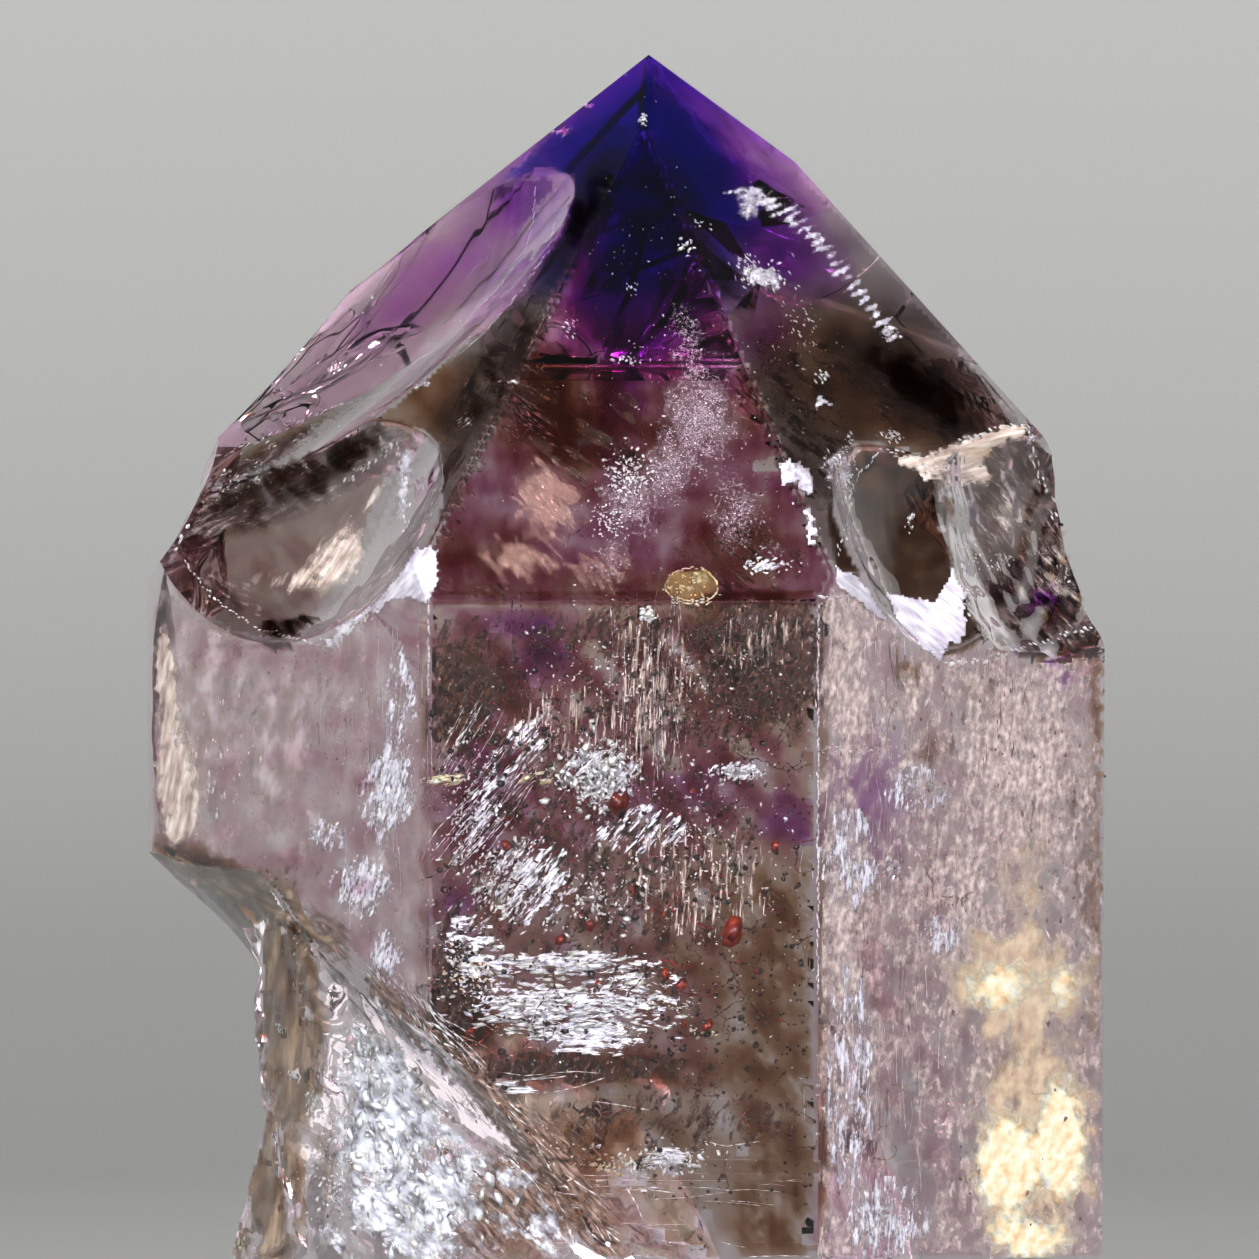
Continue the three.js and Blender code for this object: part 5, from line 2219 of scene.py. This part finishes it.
            scatter.cloud(specks, cloud)
        scatter.streaks(specks, (890, 800), (180, 70), 90, 120, (8, 40), 1.4, (0.05, 0.4), 4)
        scatter.streaks(specks, (1000, 740), (100, 40), 90, 60, (8, 30), 1.6, (0.05, 0.4), 6)
        scatter.streaks(specks, (330, 720), (70, 60), 90, 16, (8, 20), 1.4, (0.05, 0.2), 8)
        scatter.twigs(specks, (931, 905), (10, 12), 4, (16, 40), 2, (0.05, 0.2))
        scatter.twigs(specks, (880, 1120), (20, 40), 6, (16, 50), 1.8, (0.05, 0.2))
        dress(specks.build(), STAIN.make())


@dataclass
class StemContents:
    """The stained look of the stem and the arch over it, with painted blue-white glints where its lumps
    would catch the light.
    """

    # painted reflection of the sky on the stem's lumps
    painted_glint_films: Layers = (
        Film("stem_painted_glint_film", (
            Area((
                (330, 1020), (372, 1000), (420, 1050), (500, 1130), (560, 1200), (590, 1259), (310, 1259),
                (322, 1180), (336, 1100),
            ), 0.35, 34),
            Dab(380, 1120, 70, 110, 0.75), Dab(420, 1215, 80, 60, 0.8),
        ), seed=1101, relief=0.05, stretch=1.5, lie=-50),
    )
    rust_films: Layers = (
        Film("arch_fibres", (
            Area((
                (362, 964), (392, 985), (430, 1020), (520, 1104), (600, 1190), (630, 1259), (590, 1259),
                (540, 1180), (470, 1105), (410, 1045), (366, 1000),
            ), 0.9),
            Dab(330, 940, 26, 56, 0.7, 35, 0.9), Dab(520, 1190, 70, 130, 0.8, -42, 0.9),
        ), seed=1111, stretch=4, lie=-46, cell=2.5, grain=9),
    )
    tawny_films: Layers = (
        Film("neck_haze", (
            Dab(284, 1010, 46, 160, 1.4, 5, 0.8), Dab(258, 1190, 46, 100, 1.5, 0, 0.8),
            Dab(330, 1170, 26, 100, 0.3), Dab(250, 890, 50, 26, 0.9, -25, 0.9),
        ), seed=1121, stretch=5, lie=84, depth=0.12, stray=9, grain=26, steep=5),
        Film("flare_haze", (
            Area((
                (150, 850), (205, 858), (262, 874), (302, 904), (340, 945), (300, 945), (262, 915),
                (215, 900), (172, 872),
            )),
        ), seed=1131, stretch=3, lie=-30, cell=2.5, depth=0.06, steep=9),
    )

    def build(self, sight: Sight) -> None:
        """Build the painted glints, the stains and the fibres of the stem."""
        lay(sight, RUSTY, self.rust_films)
        lay(sight, TAWNY, self.tawny_films)
        lay(sight, PAINTED_STEM_GLINTS, self.painted_glint_films)
        scatter = Scatter(sight, 601)
        # painted glints: blue-white flakes where the stem's lumps would reflect the sky
        frost = Shards("stem_frost", 6, 602)
        for cloud in (
            Cloud(385, 1120, 50, 90, 160, 8, 24, slim=0.5, lie=-60, scatter=40, depth=NEAR_SKIN),
            Cloud(430, 1200, 70, 60, 200, 6, 22, slim=0.5, lie=-50, scatter=40, depth=NEAR_SKIN),
            Cloud(370, 1050, 26, 40, 70, 6, 18, slim=0.5, lie=-50, scatter=40, depth=NEAR_SKIN),
            Cloud(280, 1028, 5, 6, 22, 4, 9, depth=(0.05, 0.15)),
            Cloud(296, 1075, 6, 9, 26, 4, 10, depth=(0.05, 0.15)),
            Cloud(312, 1102, 6, 12, 30, 4, 10, depth=(0.05, 0.15)),
            Cloud(300, 960, 14, 50, 50, 2, 7, depth=UNDER_SKIN),
            Cloud(330, 1180, 30, 60, 120, 3, 10, depth=UNDER_SKIN),
        ):
            scatter.cloud(frost, cloud)
        dress(frost.build(), STEM_GLINT_FLAKES.make())
        fibres = Shards("stem_fibres", 4, 603)
        scatter.streaks(fibres, (500, 1130), (160, 34), -46, 80, (10, 36), 1.6, (0.05, 0.3), 12)
        scatter.streaks(fibres, (420, 1010), (70, 16), -42, 40, (12, 40), 1.6, (0.05, 0.3), 8)
        dress(fibres.build(), SILVER.make())
        stain = Shards("stem_stains", 5, 604)
        scatter.streaks(stain, (510, 1125), (170, 40), -46, 90, (8, 34), 2.0, (0.05, 0.4), 14)
        scatter.streaks(stain, (285, 1000), (80, 22), 92, 40, (20, 70), 2.4, (0.1, 0.6), 4)
        scatter.cloud(stain, Cloud(400, 1140, 80, 100, 120, 2, 7, slim=0.7, flat=True))
        scatter.cloud(stain, Cloud(262, 1210, 20, 50, 100, 3, 9, depth=(0.05, 0.4)))
        scatter.cloud(stain, Cloud(260, 885, 34, 22, 90, 3, 8, tilt=-35, depth=(0.05, 0.4)))
        dress(stain.build(), STAIN.make())
        # painted golden glints on the stem
        gold = Shards("stem_painted_golden_glints", 5, 605)
        scatter.cloud(gold, Cloud(236, 1238, 12, 20, 60, 3, 10, depth=NEAR_SKIN))
        scatter.cloud(gold, Cloud(540, 1150, 70, 26, 60, 2, 7, tilt=-46, depth=NEAR_SKIN))
        dress(gold.build(), GOLD.make())


@dataclass
class Stage:
    """The round pale floor that sweeps up into a wall."""

    flat_radius: float = 0.28
    wall_radius: float = 0.95
    wall_height: float = 0.7
    drop: float = 0.0001
    around: int = 96

    def build(self) -> Object:
        """Extrude the sweep ring by ring into a bowl of floor and wall, in metres."""
        bpy.ops.object.select_all(action="DESELECT")
        bpy.ops.mesh.primitive_circle_add(vertices=self.around, radius=0.02, fill_type="TRIFAN")
        stage = bpy.context.object
        stage.name = "floor_and_backdrop"
        radii = list(np.linspace(0.02, self.flat_radius, 6)) + list(
            np.linspace(self.flat_radius, self.wall_radius, 24)[1:]
        )
        with editing():
            for _ in range(len(radii) + 5):
                bpy.ops.mesh.extrude_region_move(TRANSFORM_OT_translate=UP_ONE)
            bpy.ops.mesh.delete(type="FACE")
        points = get_points(stage)
        level = np.rint(points[:, 2]).astype(int)
        turn = np.arctan2(points[:, 1], points[:, 0])
        middle = np.hypot(points[:, 0], points[:, 1]) < 0.001
        sweep = self.wall_radius - self.flat_radius
        radius = np.array([radii[min(i, len(radii) - 1)] for i in level])
        away = np.clip((radius - self.flat_radius) / sweep, 0, 1)
        height = sweep * (1 - np.sqrt(1 - (0.999 * away) ** 2))
        extra = np.clip(level - (len(radii) - 1), 0, None) / 6
        height = height + extra * (self.wall_height - sweep) - self.drop
        radius = np.where(middle, 0, radius)
        set_points(
            stage, np.column_stack([radius * np.cos(turn), radius * np.sin(turn), height])
        )
        select_only(stage)
        bpy.ops.object.shade_smooth()
        return stage


def make_camera(sight: Sight) -> None:
    """Place the camera on the photograph's line of sight."""
    data = bpy.data.cameras.new("camera")
    data.lens = 180
    data.sensor_width = 36
    data.clip_start = 0.01
    camera = bpy.data.objects.new("camera", data)
    bpy.context.scene.collection.objects.link(camera)
    camera.location = sight.eye
    camera.rotation_euler = sight.forward.to_track_quat("-Z", "Y").to_euler()
    bpy.context.scene.camera = camera


LIGHTS = (
    ("right back softbox", (0.33, 0.53, 0.20), (0.26, 0.22), 0.12),
    ("front softbox", (0.0, -0.85, 0.46), (0.95, 0.70), 87),
    ("overhead", (0.0, 0.02, 0.9), (0.2, 0.2), 3),
)
AIMED_AT = Vector((0, 0, 0.035))
SKY = (0.95, 0.97, 1, 1)
SKY_STRENGTH = 0.12


def softbox(name: str, at: Vector, size: tuple, watts: float) -> None:
    """Add one soft light that the camera doesn't see.

    Args:
        name: its name.
        at: where it is, in metres.
        size: its width and height, in metres.
        watts: its power.
    """
    data = bpy.data.lights.new(name, "AREA")
    data.shape = "RECTANGLE"
    data.size, data.size_y = size
    data.energy = watts
    light = bpy.data.objects.new(name, data)
    bpy.context.scene.collection.objects.link(light)
    light.location = at
    light.rotation_euler = (AIMED_AT - at).to_track_quat("-Z", "Y").to_euler()
    light.visible_camera = False


def main() -> None:
    """Build the crystal, its stage, the lights and the camera."""
    logging.basicConfig(level=logging.INFO, format="%(name)s: %(message)s")
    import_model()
    shell = Shell().build()
    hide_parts("amethyst_crystal")
    dress(shell, QuartzFinish().make())
    sight = Sight(shell)
    ColourZones().build()
    Glazes().build(sight)
    WindowContents().build(sight)
    TipContents().build(sight)
    ShoulderBreaks().build(sight)
    SideContents().build(sight)
    StemContents().build(sight)
    stage = Stage().build()
    stage.data.materials.append(FloorFinish().make())
    for name, at, size, watts in LIGHTS:
        softbox(name, Vector(at), size, watts)
    world = bpy.data.worlds.new("sky")
    world.use_nodes = True
    sky = world.node_tree.nodes["Background"].inputs
    sky["Color"].default_value = SKY
    sky["Strength"].default_value = SKY_STRENGTH
    bpy.context.scene.world = world
    make_camera(sight)
    view = bpy.context.scene
    view.view_settings.view_transform = "Standard"
    view.cycles.use_denoising = True
    view.cycles.sample_clamp_indirect = 30
    view.cycles.max_bounces = 11
    view.cycles.transmission_bounces = 10
    view.cycles.glossy_bounces = 6
    view.cycles.diffuse_bounces = 2
    view.cycles.transparent_max_bounces = 32


if __name__ == "__main__":
    main()
